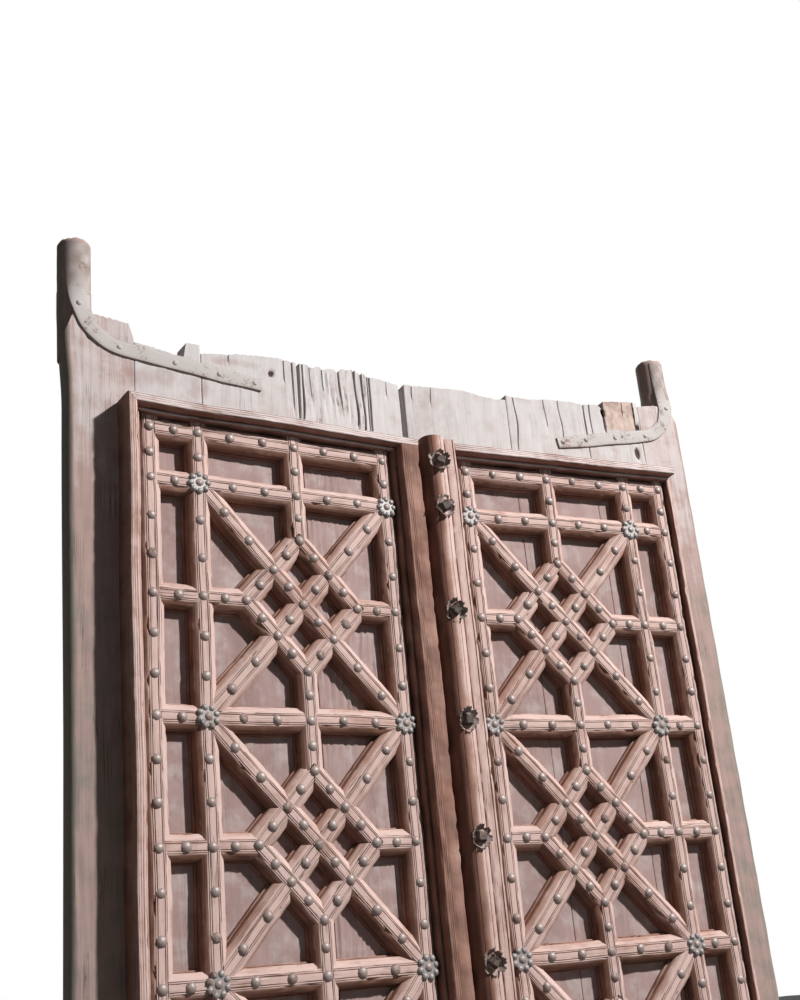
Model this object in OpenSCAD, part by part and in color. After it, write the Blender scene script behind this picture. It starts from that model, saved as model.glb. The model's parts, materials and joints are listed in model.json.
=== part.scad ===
// Pair of pivot-hung plank door leaves with a studded, moulded lattice, on a plain threshold.
// Carved face toward -Y, leaves open toward +Y, +Z up. Sizes in millimetres.

/* [Lattice] */
// Distance between the uprights of a main column
col_pitch = 190; // [150:1:230]
// Distance between two neighbouring rails
row_pitch = 205; // [170:1:240]
// Width of the narrow column on the pivot side
narrow_col = 90; // [70:1:120]
// Height of the short row at the top and at the bottom
end_row = 95; // [75:1:130]
// Number of crossed squares above each other
squares = 4; // [2:1:5]
// Reach of the inner diamond, as a share of the pitch
diamond = 0.58; // [0.5:0.01:0.7]
// Width of a bar at its foot
bar_w = 50; // [40:1:56]
// Width of the flat front of a bar
bar_flat = 23; // [18:1:28]
// Height of a bar above the boards
bar_h = 27; // [18:0.5:32]
// Height of the lower half of a halved joint
joint_h = 8; // [5:0.5:10]
// Width of the ledge along the foot of a bar
bar_ledge = 3.5; // [2:0.5:6]
// Height of the slope on a bar's shoulder
bar_slope = 9; // [4:0.5:12]
// Width of an incised line
line_w = 2; // [1:0.5:3]
// Depth of an incised line
line_d = 1.8; // [0.5:0.1:2.5]

/* [Moulded frame] */
// Width of the frame's front face
frame_face = 15.5; // [10:0.5:20]
// Height of the frame above the boards
frame_h = 54; // [44:1:66]
// Width of the bead next to the lattice
bead_w = 6; // [3:0.5:8]
// Height of the bead above the bars
bead_rise = 10; // [2:0.5:14]
// Width of the hollow between bead and front face
hollow_w = 4; // [3:0.5:8]
// Width of the plain fillet beside the bead on the right leaf's hinge side
fillet_w = 4; // [2:0.5:8]
// Distance from the last upright to the meeting edge on the left leaf
left_meet_margin = 73; // [60:1:90]
// Distance from the last upright to the meeting edge on the right leaf
right_meet_margin = 105; // [95:1:120]
// Setback of the front mouldings from the meeting edge
edge_setback = 3; // [2:0.5:8]

/* [Meeting post] */
// Radius of the post's half-round
post_r = 23.5; // [18:0.5:28]
// Height of the half-round's centre above the boards
post_mid_h = 44; // [34:1:50]
// Height of the lip beside the half-round
post_lip_h = 54; // [46:1:60]
// Rise of the post above the frame
post_rise = 6; // [0:1:15]
// Width of a boss's square head
boss_head = 25; // [18:1:30]
// Height of a boss's square head
boss_head_h = 16; // [10:1:24]
// Reach of a boss's petalled washer
boss_reach = 21; // [17:0.5:23]
// Thickness of a boss's washer
boss_plate = 3; // [2:0.5:5]

/* [Boards] */
// Distance from the pivot axis to the first upright on the left leaf
left_hinge_margin = 113; // [100:1:150]
// Thickness of a board
board_t = 40; // [30:1:50]
// Radius of the pivot stile's outer corners
edge_round = 12; // [6:1:18]
// Width of the left pivot stile past its axis
left_stile_in = 99; // [70:1:110]
// Width of the right pivot stile past its axis
right_stile_in = 77; // [60:1:90]
// Height of the boards below the lowest rail
foot_h = 160; // [120:1:220]
// Height of the boards above the top rail
head_h = 190; // [150:1:220]
// Rise of the left pivot stile's shoulder above the top rail
left_shoulder_h = 213; // [190:1:230]
// Drop of the left shoulder at its inner corner
left_shoulder_drop = 36; // [8:1:60]
// Rise of the right pivot stile's shoulder above the top rail
right_shoulder_h = 218; // [190:1:230]
// Drop of the right shoulder at its inner corner
right_shoulder_drop = 8; // [8:1:60]
// Number of battens on the back
battens = 5; // [3:1:6]
// Height of a batten
batten_w = 90; // [60:1:120]
// Thickness of a batten
batten_t = 34; // [22:1:45]

/* [Pivots] */
// Radius of the upper pivot horn
horn_r = 30; // [25:0.5:36]
// Step from the horn to the round outer edge below it
edge_step = 1; // [0.5:0.5:4]
// Rise of the left horn above the top rail
left_horn_h = 367; // [300:1:420]
// Rise of the right horn above the top rail
right_horn_h = 340; // [300:1:420]
// Radius of the lower pivot
pivot_r = 22; // [16:0.5:26]
// Length of the lower pivot below the leaf
pivot_len = 44; // [30:1:60]
// Clearance around and under the lower pivot
pivot_clear = 0.6; // [0.4:0.1:2]
// Gap between the two closed leaves
leaf_gap = 13; // [10:0.5:20]
// Angle by which each leaf stands open
ajar = 3; // [0:0.5:10]

/* [Iron] */
// Radius of a stud
stud_r = 9.5; // [7:0.25:12]
// Height of a stud
stud_h = 7.5; // [4:0.25:9]
// Distance from a rosette's centre to a petal's centre
petal_at = 15.5; // [14.5:0.25:18]
// Radius of a petal
petal_r = 5.75; // [4.5:0.25:6]
// Height of a petal
petal_h = 4.5; // [3:0.25:6]
// Number of petals
petals = 8; // [6:1:10]
// Width of the strap iron
strap_w = 28; // [22:1:34]
// Thickness of the strap iron
strap_t = 4; // [2:0.5:6]
// Radius of the strap's inner bend
strap_bend = 80; // [60:1:95]
// Offset of the strap's upright from the pivot axis
strap_x = -4; // [-8:1:0]
// Height of the left strap's bend above the top rail
left_strap_at = 246; // [215:1:260]
// Height of the right strap's bend above the top rail
right_strap_at = 231; // [205:1:260]
// Reach of the left strap from the pivot axis
left_strap_len = 347; // [240:1:420]
// Slope of the left strap in degrees
left_strap_slope = 5; // [0:0.5:15]
// Reach of the right strap from the pivot axis
right_strap_len = 302; // [240:1:420]
// Slope of the right strap in degrees
right_strap_slope = 10; // [0:0.5:15]
// Radius of a strap nail
nail_r = 5.5; // [4:0.25:8]

/* [Threshold] */
// Height of the threshold
sill_h = 100; // [70:1:140]
// Depth of the threshold
sill_d = 170; // [120:1:240]
// Length of the threshold past each pivot axis
sill_over = 85; // [60:1:140]
// Gap under the leaves
sill_gap = 6; // [4:0.5:12]
// Wall of a pivot socket
socket_wall = 10; // [6:0.5:16]

/* [Hidden] */
$fn = 48;
eps = 0.01;

// Leaf frame: X from the pivot axis to the meeting edge, Z up from the leaf's foot, face at Y = face_y.
edge_r = horn_r + edge_step;
stile_t = 2 * edge_r;
face_y = -edge_r;
leaf_w = left_hinge_margin + narrow_col + 2 * col_pitch + left_meet_margin;
left_x0 = left_hinge_margin;
right_x0 = leaf_w - right_meet_margin - 2 * col_pitch - narrow_col;
rows_h = 2 * end_row + 2 * squares * row_pitch;
low_z = foot_h;
top_z = foot_h + rows_h;
pivot_x = leaf_w + leaf_gap / 2;
leaf_z = sill_h + sill_gap;
bar_foot = bar_w / 2;
bar_neck = bar_foot - bar_ledge;
frame_out = bar_neck + bead_w + hollow_w + frame_face;
bead_out = bar_neck + bead_w + fillet_w;
diamond_x = diamond * col_pitch;
diamond_z = diamond * row_pitch;
horn_taper = 6;
stud_ball = (stud_r * stud_r + stud_h * stud_h) / (2 * stud_h);
petal_ball = (petal_r * petal_r + petal_h * petal_h) / (2 * petal_h);

// Shapes of the worn board tops: share of the board's width, height against head_h.
left_top_1 = [[0, -18], [0.28, -21], [0.6, -28], [0.76, -29], [0.78, 1], [1, 1]];
left_top_2 = [[0, -16], [0.12, -12], [0.3, -7], [0.33, -4], [0.55, 1], [0.8, 5], [1, 2]];
left_top_3 = [[0, 3], [0.12, 3], [0.2, -2], [0.34, 3], [0.36, -2], [0.52, 5], [0.6, -4], [0.64, 7], [0.86, 11], [0.9, 1],
    [0.95, 8], [1, 4]];
left_top_4 = [[0, 2], [0.4, 1], [1, -4]];
right_top_1 = [[0, 28], [0.08, 29], [0.64, 21], [0.66, 2], [0.72, 10], [0.8, 11], [1, 8]];
right_top_2 = [[0, 8], [0.17, 10], [0.43, 9], [0.69, 3], [0.9, 4], [1, 5]];
right_top_3 = [[0, -5], [0.1, -7], [0.25, -4], [0.45, 4], [0.75, 1], [1, -1]];
left_cuts = [left_stile_in, 0.346 * leaf_w, 0.649 * leaf_w, 0.886 * leaf_w, leaf_w];
right_cuts = [right_stile_in, 0.337 * leaf_w, 0.636 * leaf_w, leaf_w];

function row_z(i) = i == 0 ? top_z : i == 2 * squares + 2 ? low_z : top_z - end_row - (i - 1) * row_pitch;
function col_x(x0, i) = i == 0 ? x0 : x0 + narrow_col + (i - 1) * col_pitch;
function mid_z(k) = row_z(2 * k + 2);
function is_mid(i) = i > 0 && i < 2 * squares + 2 && i % 2 == 0;
function between(a, b, n) = [for (i = [1:n]) a + (b - a) * i / (n + 1)];

// Places a leaf: the right leaf is the mirror image of the left one.
module on_left() translate([-pivot_x, 0, leaf_z]) rotate([0, 0, ajar]) children();
module on_right() mirror([1, 0, 0]) on_left() children();

// Runs a section along the face from a to b; the section's x lies across the bar and its y stands off the boards.
module run(a, b) {
    len = norm(b - a);
    turn = atan2(b[1] - a[1], b[0] - a[0]);
    translate([a[0], face_y, a[1]]) rotate([0, -turn, 0]) rotate([90, 0, 90])
        linear_extrude(len) rotate(90) children();
}

// Section of a bar above the halved joint, with shoulders and two incised lines; a housing is cut without lines.
module bar_top_section(lines = true) {
    f = bar_flat / 2;
    g = bar_flat / 4 + line_w / 2;
    w = line_w / 2;
    d = lines ? line_d : 0;
    shoulder = bar_h - bar_slope;
    front = [[f, bar_h], [g + w, bar_h], [g, bar_h - d], [g - w, bar_h], [w - g, bar_h], [-g, bar_h - d], [-g - w, bar_h],
        [-f, bar_h]];
    plain = [[f, bar_h], [-f, bar_h]];
    polygon(concat(
        [[-bar_neck, joint_h], [bar_neck, joint_h], [bar_neck, shoulder]],
        lines ? front : plain,
        [[-bar_neck, shoulder]]
    ));
}

// One bar from a to b: its lower half, its moulded upper half, or both; an edge bar has no ledge on its outer side.
module bar(a, b, low = true, top = true, lines = true, out = bar_foot) {
    if (low) run(a, b) translate([-bar_foot, 0]) square([bar_foot + out, joint_h]);
    if (top) run(a, b) bar_top_section(lines);
}

// Long uprights of the lattice: pivot side, first column and meeting side.
module long_uprights(x0, low = true, top = true, lines = true) {
    for (i = [0, 1, 3]) {
        foot = [col_x(x0, i), low_z - bar_neck];
        head = [col_x(x0, i), top_z + bar_neck];
        out = i == 1 ? bar_foot : bar_neck;
        if (i == 3) bar(head, foot, low, top, lines, out);
        else bar(foot, head, low, top, lines, out);
    }
}

// Short uprights of the middle column, from each diamond to the next.
module short_uprights(x0, low = true, top = true, lines = true) {
    x = col_x(x0, 2);
    for (k = [0:squares]) {
        foot = k == squares ? low_z - bar_neck : mid_z(k) + diamond_z;
        head = k == 0 ? top_z + bar_neck : mid_z(k - 1) - diamond_z;
        bar([x, foot], [x, head], low, top, lines);
    }
}

// Long rails: the two edge rails and the rails between the squares.
module long_rails(x0, low = true, top = true, lines = true) {
    last = 2 * squares + 2;
    for (i = [0:last]) if (!is_mid(i)) {
        a = [col_x(x0, 0), row_z(i)];
        b = [col_x(x0, 3), row_z(i)];
        past = [bar_neck, 0];
        out = i == 0 || i == last ? bar_neck : bar_foot;
        if (i == last) bar(b + past, a - past, low, false, lines, out);
        else bar(a - past, b + past, low, false, lines, out);
        bar(a, b, false, top, lines);
    }
}

// Short rails on both sides of each diamond.
module short_rails(x0, low = true, top = true, lines = true) {
    for (k = [0:squares - 1]) {
        z = mid_z(k);
        left = [col_x(x0, 0), z];
        right = [col_x(x0, 3), z];
        past = [bar_neck, 0];
        bar(left - past, [col_x(x0, 2) - diamond_x, z], low, false, lines);
        bar(left, [col_x(x0, 2) - diamond_x, z], false, top, lines);
        bar([col_x(x0, 2) + diamond_x, z], right + past, low, false, lines);
        bar([col_x(x0, 2) + diamond_x, z], right, false, top, lines);
    }
}

// Slanting bar from corner to corner of a square; lean = 1 falls toward the meeting edge, -1 rises toward it.
module slant_main(x0, k, lean, low = true, top = true, lines = true) {
    m = [col_x(x0, 2), mid_z(k)];
    d = [col_pitch, -lean * row_pitch];
    bar(m - d, m + d, low, top, lines);
}

// Two parallel sides of a square's diamond, mitred on the square's axes.
module slant_sides(x0, k, lean, low = true, top = true, lines = true) {
    m = [col_x(x0, 2), mid_z(k)];
    dx = diamond_x;
    dz = lean * diamond_z;
    past = 0.35 * [dx, -dz];
    intersection() {
        for (s = [-1, 1]) {
            a = m + (s > 0 ? [0, dz] : [-dx, 0]) - past;
            b = m + (s > 0 ? [dx, 0] : [0, -dz]) + past;
            bar(a, b, low, top, lines);
        }
        for (s = [-1, 1])
            translate([m[0] + (s > 0 ? 0 : -2 * dx), face_y - 2 * bar_h, m[1] + (s * lean > 0 ? 0 : -2 * diamond_z)])
                cube([2 * dx, 4 * bar_h, 2 * diamond_z]);
    }
}

module slants(x0, k, lean, low = true, top = true, lines = true) {
    slant_main(x0, k, lean, low, top, lines);
    slant_sides(x0, k, lean, low, top, lines);
}

// Slanting bars of one direction: the through ones are housed below the crossing, the lapped ones above it.
module slant_set(x0, lean, through) {
    difference() {
        for (k = [0:squares - 1]) {
            difference() {
                slants(x0, k, lean);
                slants(x0, k, -lean, through, !through, false);
            }
        }
        long_uprights(x0, lines = false);
        long_rails(x0, lines = false);
    }
}

module diamonds(x0) {
    for (k = [0:squares - 1]) for (lean = [-1, 1]) slant_sides(x0, k, lean, lines = false);
}

module lattice_uprights(x0) {
    difference() {
        union() {
            long_uprights(x0);
            short_uprights(x0);
        }
        long_rails(x0, top = false);
        short_rails(x0, top = false);
        diamonds(x0);
    }
}

module lattice_rails(x0) {
    difference() {
        union() {
            long_rails(x0);
            short_rails(x0);
        }
        long_uprights(x0, low = false, lines = false);
        short_uprights(x0, low = false, lines = false);
        diamonds(x0);
    }
}

// Section of the moulded frame: bead, hollow and reeded front face.
module frame_section(face = frame_face) {
    a = bar_neck;
    b = a + bead_w;
    c = b + hollow_w;
    d = c + face;
    e = bar_h + bead_rise;
    difference() {
        polygon([
            [a, 0], [a, e - 2], [a + bead_w * 0.2, e - 0.5], [a + bead_w * 0.5, e], [a + bead_w * 0.8, e - 0.5],
            [b, e - 2], [b + 1, e - 2], [c - 1.2, frame_h - 5], [c - 1.2, frame_h - 2.5],
            [c, frame_h - 2], [c + 1, frame_h], [d - 1.5, frame_h], [d, frame_h - 2], [d, 0]
        ]);
        for (i = [1:3]) translate([c + 1 + frame_face * i / 4, frame_h]) rotate(45) square(1.8, center = true);
    }
}

// Section of the bead with its fillet, all that the right leaf has on its hinge side.
module bead_section() {
    a = bar_neck;
    b = a + bead_w;
    d = b + fillet_w;
    e = bar_h + bead_rise;
    polygon([
        [a, 0], [a, e - 2], [a + bead_w * 0.2, e - 0.5], [a + bead_w * 0.5, e], [a + bead_w * 0.8, e - 0.5],
        [b, e - 2], [b + 0.6, e - 3], [d - 1, e - 3], [d, e - 4], [d, 0]
    ]);
}

// Cuts a frame member to a mitred outline on the face.
module mitred(points) {
    intersection() {
        children();
        translate([0, face_y + 1, 0]) rotate([90, 0, 0]) linear_extrude(frame_h + 10) polygon(points);
    }
}

// Top or bottom rail of the frame; on the right leaf it is scribed to the post and cut square at its hinge end.
module frame_rail(x0, top, scribed = false) {
    z = top ? top_z : low_z;
    s = top ? 1 : -1;
    xa = col_x(x0, 0);
    xb = col_x(x0, 3);
    e = frame_out + 1;
    to_post = [[xb + post_mid, z], [xb + post_mid, z + s * e]];
    meet = scribed ? to_post : [[xb, z], [xb + e, z + s * e]];
    far = [xb + 2 * e, z];
    near = [xa - 2 * e, z];
    g = scribed ? bead_out : e;
    square_end = scribed ? [[xa - g, z + s * e]] : [];
    difference() {
        mitred(concat([[xa, z]], meet, square_end, [[xa - g, z + s * g]]))
            if (top) run(near, far) frame_section();
            else run(far, near) frame_section();
        if (scribed) post_body(false);
    }
}

module frame_hinge(x0) {
    x = col_x(x0, 0);
    e = frame_out + 1;
    mitred([[x, low_z], [x, top_z], [x - e, top_z + e], [x - e, low_z - e]])
        run([x, low_z - 2 * e], [x, top_z + 2 * e]) frame_section();
}

module bead_hinge(x0) {
    x = col_x(x0, 0);
    e = bead_out;
    mitred([[x, low_z], [x, top_z], [x - e, top_z + e], [x - e, low_z - e]])
        run([x, low_z - 2 * e], [x, top_z + 2 * e]) bead_section();
}

module frame_meeting(x0) {
    x = col_x(x0, 3);
    e = frame_out;
    out = leaf_w - edge_setback - x;
    wide = out - (frame_out - frame_face);
    mitred([
        [x, low_z], [x, top_z], [x + e, top_z + e], [x + out + 1, top_z + e],
        [x + out + 1, low_z - e], [x + e, low_z - e]
    ])
        run([x, top_z + 2 * e], [x, low_z - 2 * e]) frame_section(wide);
}

// Half-round post on the meeting edge of the right leaf.
post_out = leaf_w - edge_setback - col_x(right_x0, 3);
post_mid = post_out - post_r;
module post_lip_section() {
    a = bar_neck;
    c = a + bead_w + hollow_w;
    q = post_mid - post_r;
    polygon([
        [a, 0], [a, bar_h], [a + 3, bar_h + 2], [c - 1, post_lip_h - 5], [c, post_lip_h - 1],
        [c + 1.5, post_lip_h], [q - 1.5, post_lip_h], [q, post_lip_h - 5], [q + 1.5, post_lip_h - 4],
        [post_mid, post_lip_h - 4], [post_mid, 0]
    ]);
}

module post_lines() {
    c = bar_neck + bead_w + hollow_w;
    translate([c + 6, post_lip_h]) rotate(45) square(2.2, center = true);
    for (t = [62, 108]) translate([post_mid, post_mid_h])
        rotate(t) translate([post_r, 0]) rotate(45) square(2.8, center = true);
}

module post_body(lines = true) {
    x = col_x(right_x0, 3);
    a = [x, top_z + frame_out + post_rise];
    b = [x, low_z - frame_out - post_rise];
    difference() {
        union() {
            run(a, b) post_lip_section();
            run(a, b) translate([post_mid - 5, 0]) square([post_r + 5, post_mid_h]);
            run(a, b) translate([post_mid, post_mid_h]) circle(post_r);
        }
        if (lines) run(a, b) post_lines();
    }
}

// Square-headed boss on a star-shaped washer, scribed to the post.
module boss_at(z) {
    x = col_x(right_x0, 3) + post_mid;
    crown = post_mid_h + post_r;
    translate([x, face_y, z]) rotate([90, 0, 0]) {
        translate([0, 0, crown - 9]) cylinder(r = boss_reach * 0.72, h = 9 + boss_plate);
        for (t = [0, 45]) translate([0, 0, crown]) rotate(t)
            linear_extrude(boss_plate) square(boss_reach * 1.41, center = true);
        translate([0, 0, crown + boss_plate]) rotate(8) {
            linear_extrude(boss_head_h * 0.7) square(boss_head, center = true);
            linear_extrude(boss_head_h) square(boss_head * 0.72, center = true);
        }
    }
}

module post_bosses() {
    difference() {
        for (i = [0:2 * squares + 2]) boss_at(row_z(i));
        post_body(false);
    }
}

// Vertical board with a worn top.
module board(xa, xb, tops) {
    n = len(tops);
    edge = [for (i = [0:n - 1]) let (p = tops[n - 1 - i]) [xa + p[0] * (xb - xa), top_z + head_h + p[1]]];
    translate([0, face_y + board_t, 0]) rotate([90, 0, 0]) linear_extrude(board_t)
        polygon(concat([[xa, 0], [xb, 0]], edge));
}

// Plan of the pivot stile, its outer corners rounded.
module stile_plan(inner) {
    c = edge_round;
    m = edge_r - c;
    polygon(concat(
        [[inner + 5, edge_r]],
        [for (i = [0:6]) [-m - c * sin(15 * i), m + c * cos(15 * i)]],
        [for (i = [0:6]) [-m - c * cos(15 * i), -m - c * sin(15 * i)]],
        [[inner + 5, -edge_r]]
    ));
}

// Pivot stile with its upper horn and lower pivot; the strap is let into the horn.
module pivot_stile(inner, rise, drop, horn, at, length, slope) {
    top = top_z + horn;
    shoulder = top_z + rise;
    collar = top_z + at + strap_joggle;
    difference() {
        union() {
            translate([0, 0, shoulder - 90]) cylinder(r = edge_r - 0.4, h = collar - shoulder + 90);
            translate([0, 0, collar - 1]) cylinder(r = horn_r, h = top - horn_taper - collar + 1);
            translate([0, 0, top - horn_taper]) cylinder(r1 = horn_r, r2 = horn_r - 4, h = horn_taper);
            translate([0, 0, -pivot_len]) cylinder(r = pivot_r, h = pivot_len + 1);
            intersection() {
                translate([0, 0, -5]) linear_extrude(shoulder + 10) stile_plan(inner);
                translate([0, edge_r + 2, 0]) rotate([90, 0, 0]) linear_extrude(stile_t + 4) polygon([
                    [-edge_r - 3, 0], [inner, 0], [inner, shoulder - drop], [inner - 9, shoulder - 6],
                    [edge_r, shoulder], [-10, shoulder], [-edge_r - 3, shoulder - 60]
                ]);
            }
        }
        strap(horn, at, length, slope);
    }
}

module batten_set(inner) {
    first = batten_w / 2 + 70;
    step = (top_z + 40 - 2 * first) / (battens - 1);
    for (i = [0:battens - 1])
        translate([inner, face_y + board_t, first + i * step + 40 - batten_w / 2])
            cube([leaf_w - inner - 8, batten_t, batten_w]);
}

// Strap iron: flush up the front of the horn, proud below it, round a bend and along the top of the boards.
strap_joggle = 16;
function strap_mid(at) = [strap_x + strap_w / 2 + strap_bend, top_z + at];
function strap_spot(at, r, t) = strap_mid(at) + r * [cos(180 + t), sin(180 + t)];
module strap(horn, at, length, slope) {
    bend_z = top_z + at;
    sweep = 90 - slope;
    far_r = strap_bend + strap_w;
    dir = [cos(slope), -sin(slope)];
    inner = [for (i = [0:16]) strap_spot(at, strap_bend, sweep * i / 16)];
    outer = [for (i = [0:16]) strap_spot(at, far_r, sweep * (16 - i) / 16)];
    run_len = (length - inner[16][0]) / dir[0];
    union() {
        translate([0, face_y, 0]) rotate([90, 0, 0]) linear_extrude(strap_t)
            polygon(concat(inner, [inner[16] + run_len * dir, outer[0] + run_len * dir], outer));
        strap_upright(horn_r - strap_t, horn_r, bend_z, top_z + horn - 14);
        strap_upright(horn_r - strap_t, edge_r + strap_t, bend_z, bend_z + strap_joggle);
    }
}

// Part of a ring on the front of the horn, as wide as the strap.
module strap_upright(r_in, r_out, low, high) {
    intersection() {
        difference() {
            translate([0, 0, low]) cylinder(r = r_out, h = high - low);
            translate([0, 0, low - 1]) cylinder(r = r_in, h = high - low + 2);
        }
        translate([strap_x - strap_w / 2, -2 * edge_r, low - 1]) cube([strap_w, 2 * edge_r, high - low + 2]);
    }
}

function strap_nail_spots(at, length, slope) =
    let (r = strap_bend + strap_w / 2, p0 = strap_spot(at, r, 90 - slope), dir = [cos(slope), -sin(slope)])
    let (far = (length - p0[0]) / dir[0])
    concat([strap_spot(at, r, 11), strap_spot(at, r, 78)], [for (k = [0.35, 0.68, 0.95]) p0 + k * far * dir]);

module nail_head(r, h) {
    ball = (r * r + h * h) / (2 * h);
    intersection() {
        translate([0, 0, h - ball]) sphere(ball);
        cylinder(r = r + 1, h = h + 1);
    }
}

module strap_nails(at, length, slope) {
    for (p = strap_nail_spots(at, length, slope))
        translate([p[0], face_y - strap_t, p[1]]) rotate([90, 0, 0]) nail_head(nail_r, 3.5);
}

// A stud is the part of a ball that stands in front of a bar.
module stud_at(p) translate([p[0], face_y - bar_h - stud_h + stud_ball, p[1]]) sphere(stud_ball);

// Cuts everything away that lies behind the bars' front.
module in_front() {
    difference() {
        children();
        translate([-leaf_w, face_y - bar_h, -leaf_w]) cube([3 * leaf_w, 60, top_z + 2 * leaf_w]);
    }
}

// Studs along the uprights, the rails and the slanting bars; rosettes take the corners of each square.
module stud_balls(x0) {
    rows = 2 * squares + 2;
    for (c = [0, 1, 3], i = [0:rows]) {
        x = col_x(x0, c);
        if (c == 0 || i == 0 || i == rows || is_mid(i)) stud_at([x, row_z(i)]);
        if (i < rows) for (z = between(row_z(i), row_z(i + 1), i == 0 || i == rows - 1 ? 1 : 2)) stud_at([x, z]);
    }
    for (i = [0:rows]) if (!is_mid(i)) {
        stud_at([col_x(x0, 2), row_z(i)]);
        for (x = between(col_x(x0, 0), col_x(x0, 1), 1)) stud_at([x, row_z(i)]);
        for (c = [1, 2]) for (x = between(col_x(x0, c), col_x(x0, c + 1), 2)) stud_at([x, row_z(i)]);
    }
    for (z = [(row_z(0) + row_z(1)) / 2, (row_z(rows - 1) + row_z(rows)) / 2]) stud_at([col_x(x0, 2), z]);
    for (k = [0:squares - 1]) square_studs(x0, k);
}

module stud_set(x0) in_front() stud_balls(x0);

module square_studs(x0, k) {
    m = [col_x(x0, 2), mid_z(k)];
    dx = diamond_x;
    dz = diamond_z;
    stud_at(m);
    stud_at([(col_x(x0, 0) + col_x(x0, 1)) / 2, m[1]]);
    for (s = [-1, 1]) {
        stud_at(m + [s * dx, 0]);
        stud_at(m + [0, s * dz]);
        stud_at(m + [s * (dx + col_pitch) / 2, 0]);
        stud_at(m + [0, s * (dz + row_pitch) / 2]);
        for (v = [-1, 1]) {
            cross = [s * dx / 2, v * dz / 2];
            corner = [s * col_pitch, v * row_pitch];
            stud_at(m + cross);
            stud_at(m + cross / 2);
            for (t = [1, 2]) stud_at(m + cross + (corner - cross) * t / 3);
            stud_at(m + [s * dx / 4, v * dz * 3 / 4]);
            stud_at(m + [s * dx * 3 / 4, v * dz / 4]);
        }
    }
}

module rosette_at(p) {
    translate([p[0], face_y - bar_h, p[1]]) rotate([90, 0, 0]) union() {
        cylinder(r = petal_at, h = 2.5);
        for (i = [0:petals - 1]) rotate(360 * (i + 0.5) / petals)
            translate([petal_at, 0, petal_h - petal_ball]) sphere(petal_ball);
        translate([0, 0, 2 + stud_h - stud_ball]) sphere(stud_ball);
    }
}

module rosette_set(x0) in_front()
    for (c = [1, 3], k = [0:squares]) rosette_at([col_x(x0, c), row_z(2 * k + 1)]);

// Iron cup that takes a lower pivot.
socket_r = pivot_r + pivot_clear + socket_wall;
socket_deep = pivot_len - sill_gap + pivot_clear;
module socket() {
    difference() {
        translate([0, 0, sill_h - socket_deep - socket_wall]) cylinder(r = socket_r, h = socket_deep + socket_wall);
        translate([0, 0, sill_h - socket_deep]) cylinder(r = pivot_r + pivot_clear, h = socket_deep + 1);
    }
}

module threshold() {
    difference() {
        translate([-pivot_x - sill_over, -sill_d / 2, 0]) cube([2 * (pivot_x + sill_over), sill_d, sill_h]);
        for (s = [-1, 1]) translate([s * pivot_x, 0, sill_h - socket_deep - socket_wall])
            cylinder(r = socket_r, h = sill_h);
    }
}

module left_stile()
    pivot_stile(left_stile_in, left_shoulder_h, left_shoulder_drop, left_horn_h,
        left_strap_at, left_strap_len, left_strap_slope);
module right_stile()
    pivot_stile(right_stile_in, right_shoulder_h, right_shoulder_drop, right_horn_h,
        right_strap_at, right_strap_len, right_strap_slope);

wood = [0.55, 0.38, 0.32];
board_wood = [0.62, 0.56, 0.55];
iron = [0.33, 0.31, 0.31];

color(board_wood) threshold();
color(iron) translate([-pivot_x, 0, 0]) socket();  // left_socket
color(iron) translate([pivot_x, 0, 0]) socket();  // right_socket
color(board_wood) on_left() left_stile();  // left_pivot_stile
color(board_wood) on_left() board(left_cuts[0], left_cuts[1], left_top_1);  // left_board_1
color(board_wood) on_left() board(left_cuts[1], left_cuts[2], left_top_2);  // left_board_2
color(board_wood) on_left() board(left_cuts[2], left_cuts[3], left_top_3);  // left_board_3
color(board_wood) on_left() board(left_cuts[3], left_cuts[4], left_top_4);  // left_board_4
color(board_wood) on_left() batten_set(left_stile_in);  // left_battens
color(wood) on_left() frame_rail(left_x0, true);  // left_frame_top
color(wood) on_left() frame_rail(left_x0, false);  // left_frame_bottom
color(wood) on_left() frame_hinge(left_x0);  // left_frame_hinge
color(wood) on_left() frame_meeting(left_x0);  // left_frame_meeting
color(wood) on_left() lattice_uprights(left_x0);  // left_lattice_uprights
color(wood) on_left() lattice_rails(left_x0);  // left_lattice_rails
color(wood) on_left() slant_set(left_x0, 1, true);  // left_lattice_through
color(wood) on_left() slant_set(left_x0, -1, false);  // left_lattice_lapped
color(iron) on_left() stud_set(left_x0);  // left_studs
color(iron) on_left() rosette_set(left_x0);  // left_rosettes
color(iron) on_left() strap(left_horn_h, left_strap_at, left_strap_len, left_strap_slope);  // left_strap
color(iron) on_left() strap_nails(left_strap_at, left_strap_len, left_strap_slope);  // left_strap_nails
color(board_wood) on_right() right_stile();  // right_pivot_stile
color(board_wood) on_right() board(right_cuts[0], right_cuts[1], right_top_1);  // right_board_1
color(board_wood) on_right() board(right_cuts[1], right_cuts[2], right_top_2);  // right_board_2
color(board_wood) on_right() board(right_cuts[2], right_cuts[3], right_top_3);  // right_board_3
color(board_wood) on_right() batten_set(right_stile_in);  // right_battens
color(wood) on_right() frame_rail(right_x0, true, true);  // right_frame_top
color(wood) on_right() frame_rail(right_x0, false, true);  // right_frame_bottom
color(wood) on_right() bead_hinge(right_x0);  // right_frame_hinge
color(wood) on_right() post_body();  // right_post
color(iron) on_right() post_bosses();  // right_post_bosses
color(wood) on_right() lattice_uprights(right_x0);  // right_lattice_uprights
color(wood) on_right() lattice_rails(right_x0);  // right_lattice_rails
color(wood) on_right() slant_set(right_x0, -1, true);  // right_lattice_through
color(wood) on_right() slant_set(right_x0, 1, false);  // right_lattice_lapped
color(iron) on_right() stud_set(right_x0);  // right_studs
color(iron) on_right() rosette_set(right_x0);  // right_rosettes
color(iron) on_right() strap(right_horn_h, right_strap_at, right_strap_len, right_strap_slope);  // right_strap
color(iron) on_right() strap_nails(right_strap_at, right_strap_len, right_strap_slope);  // right_strap_nails
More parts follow.
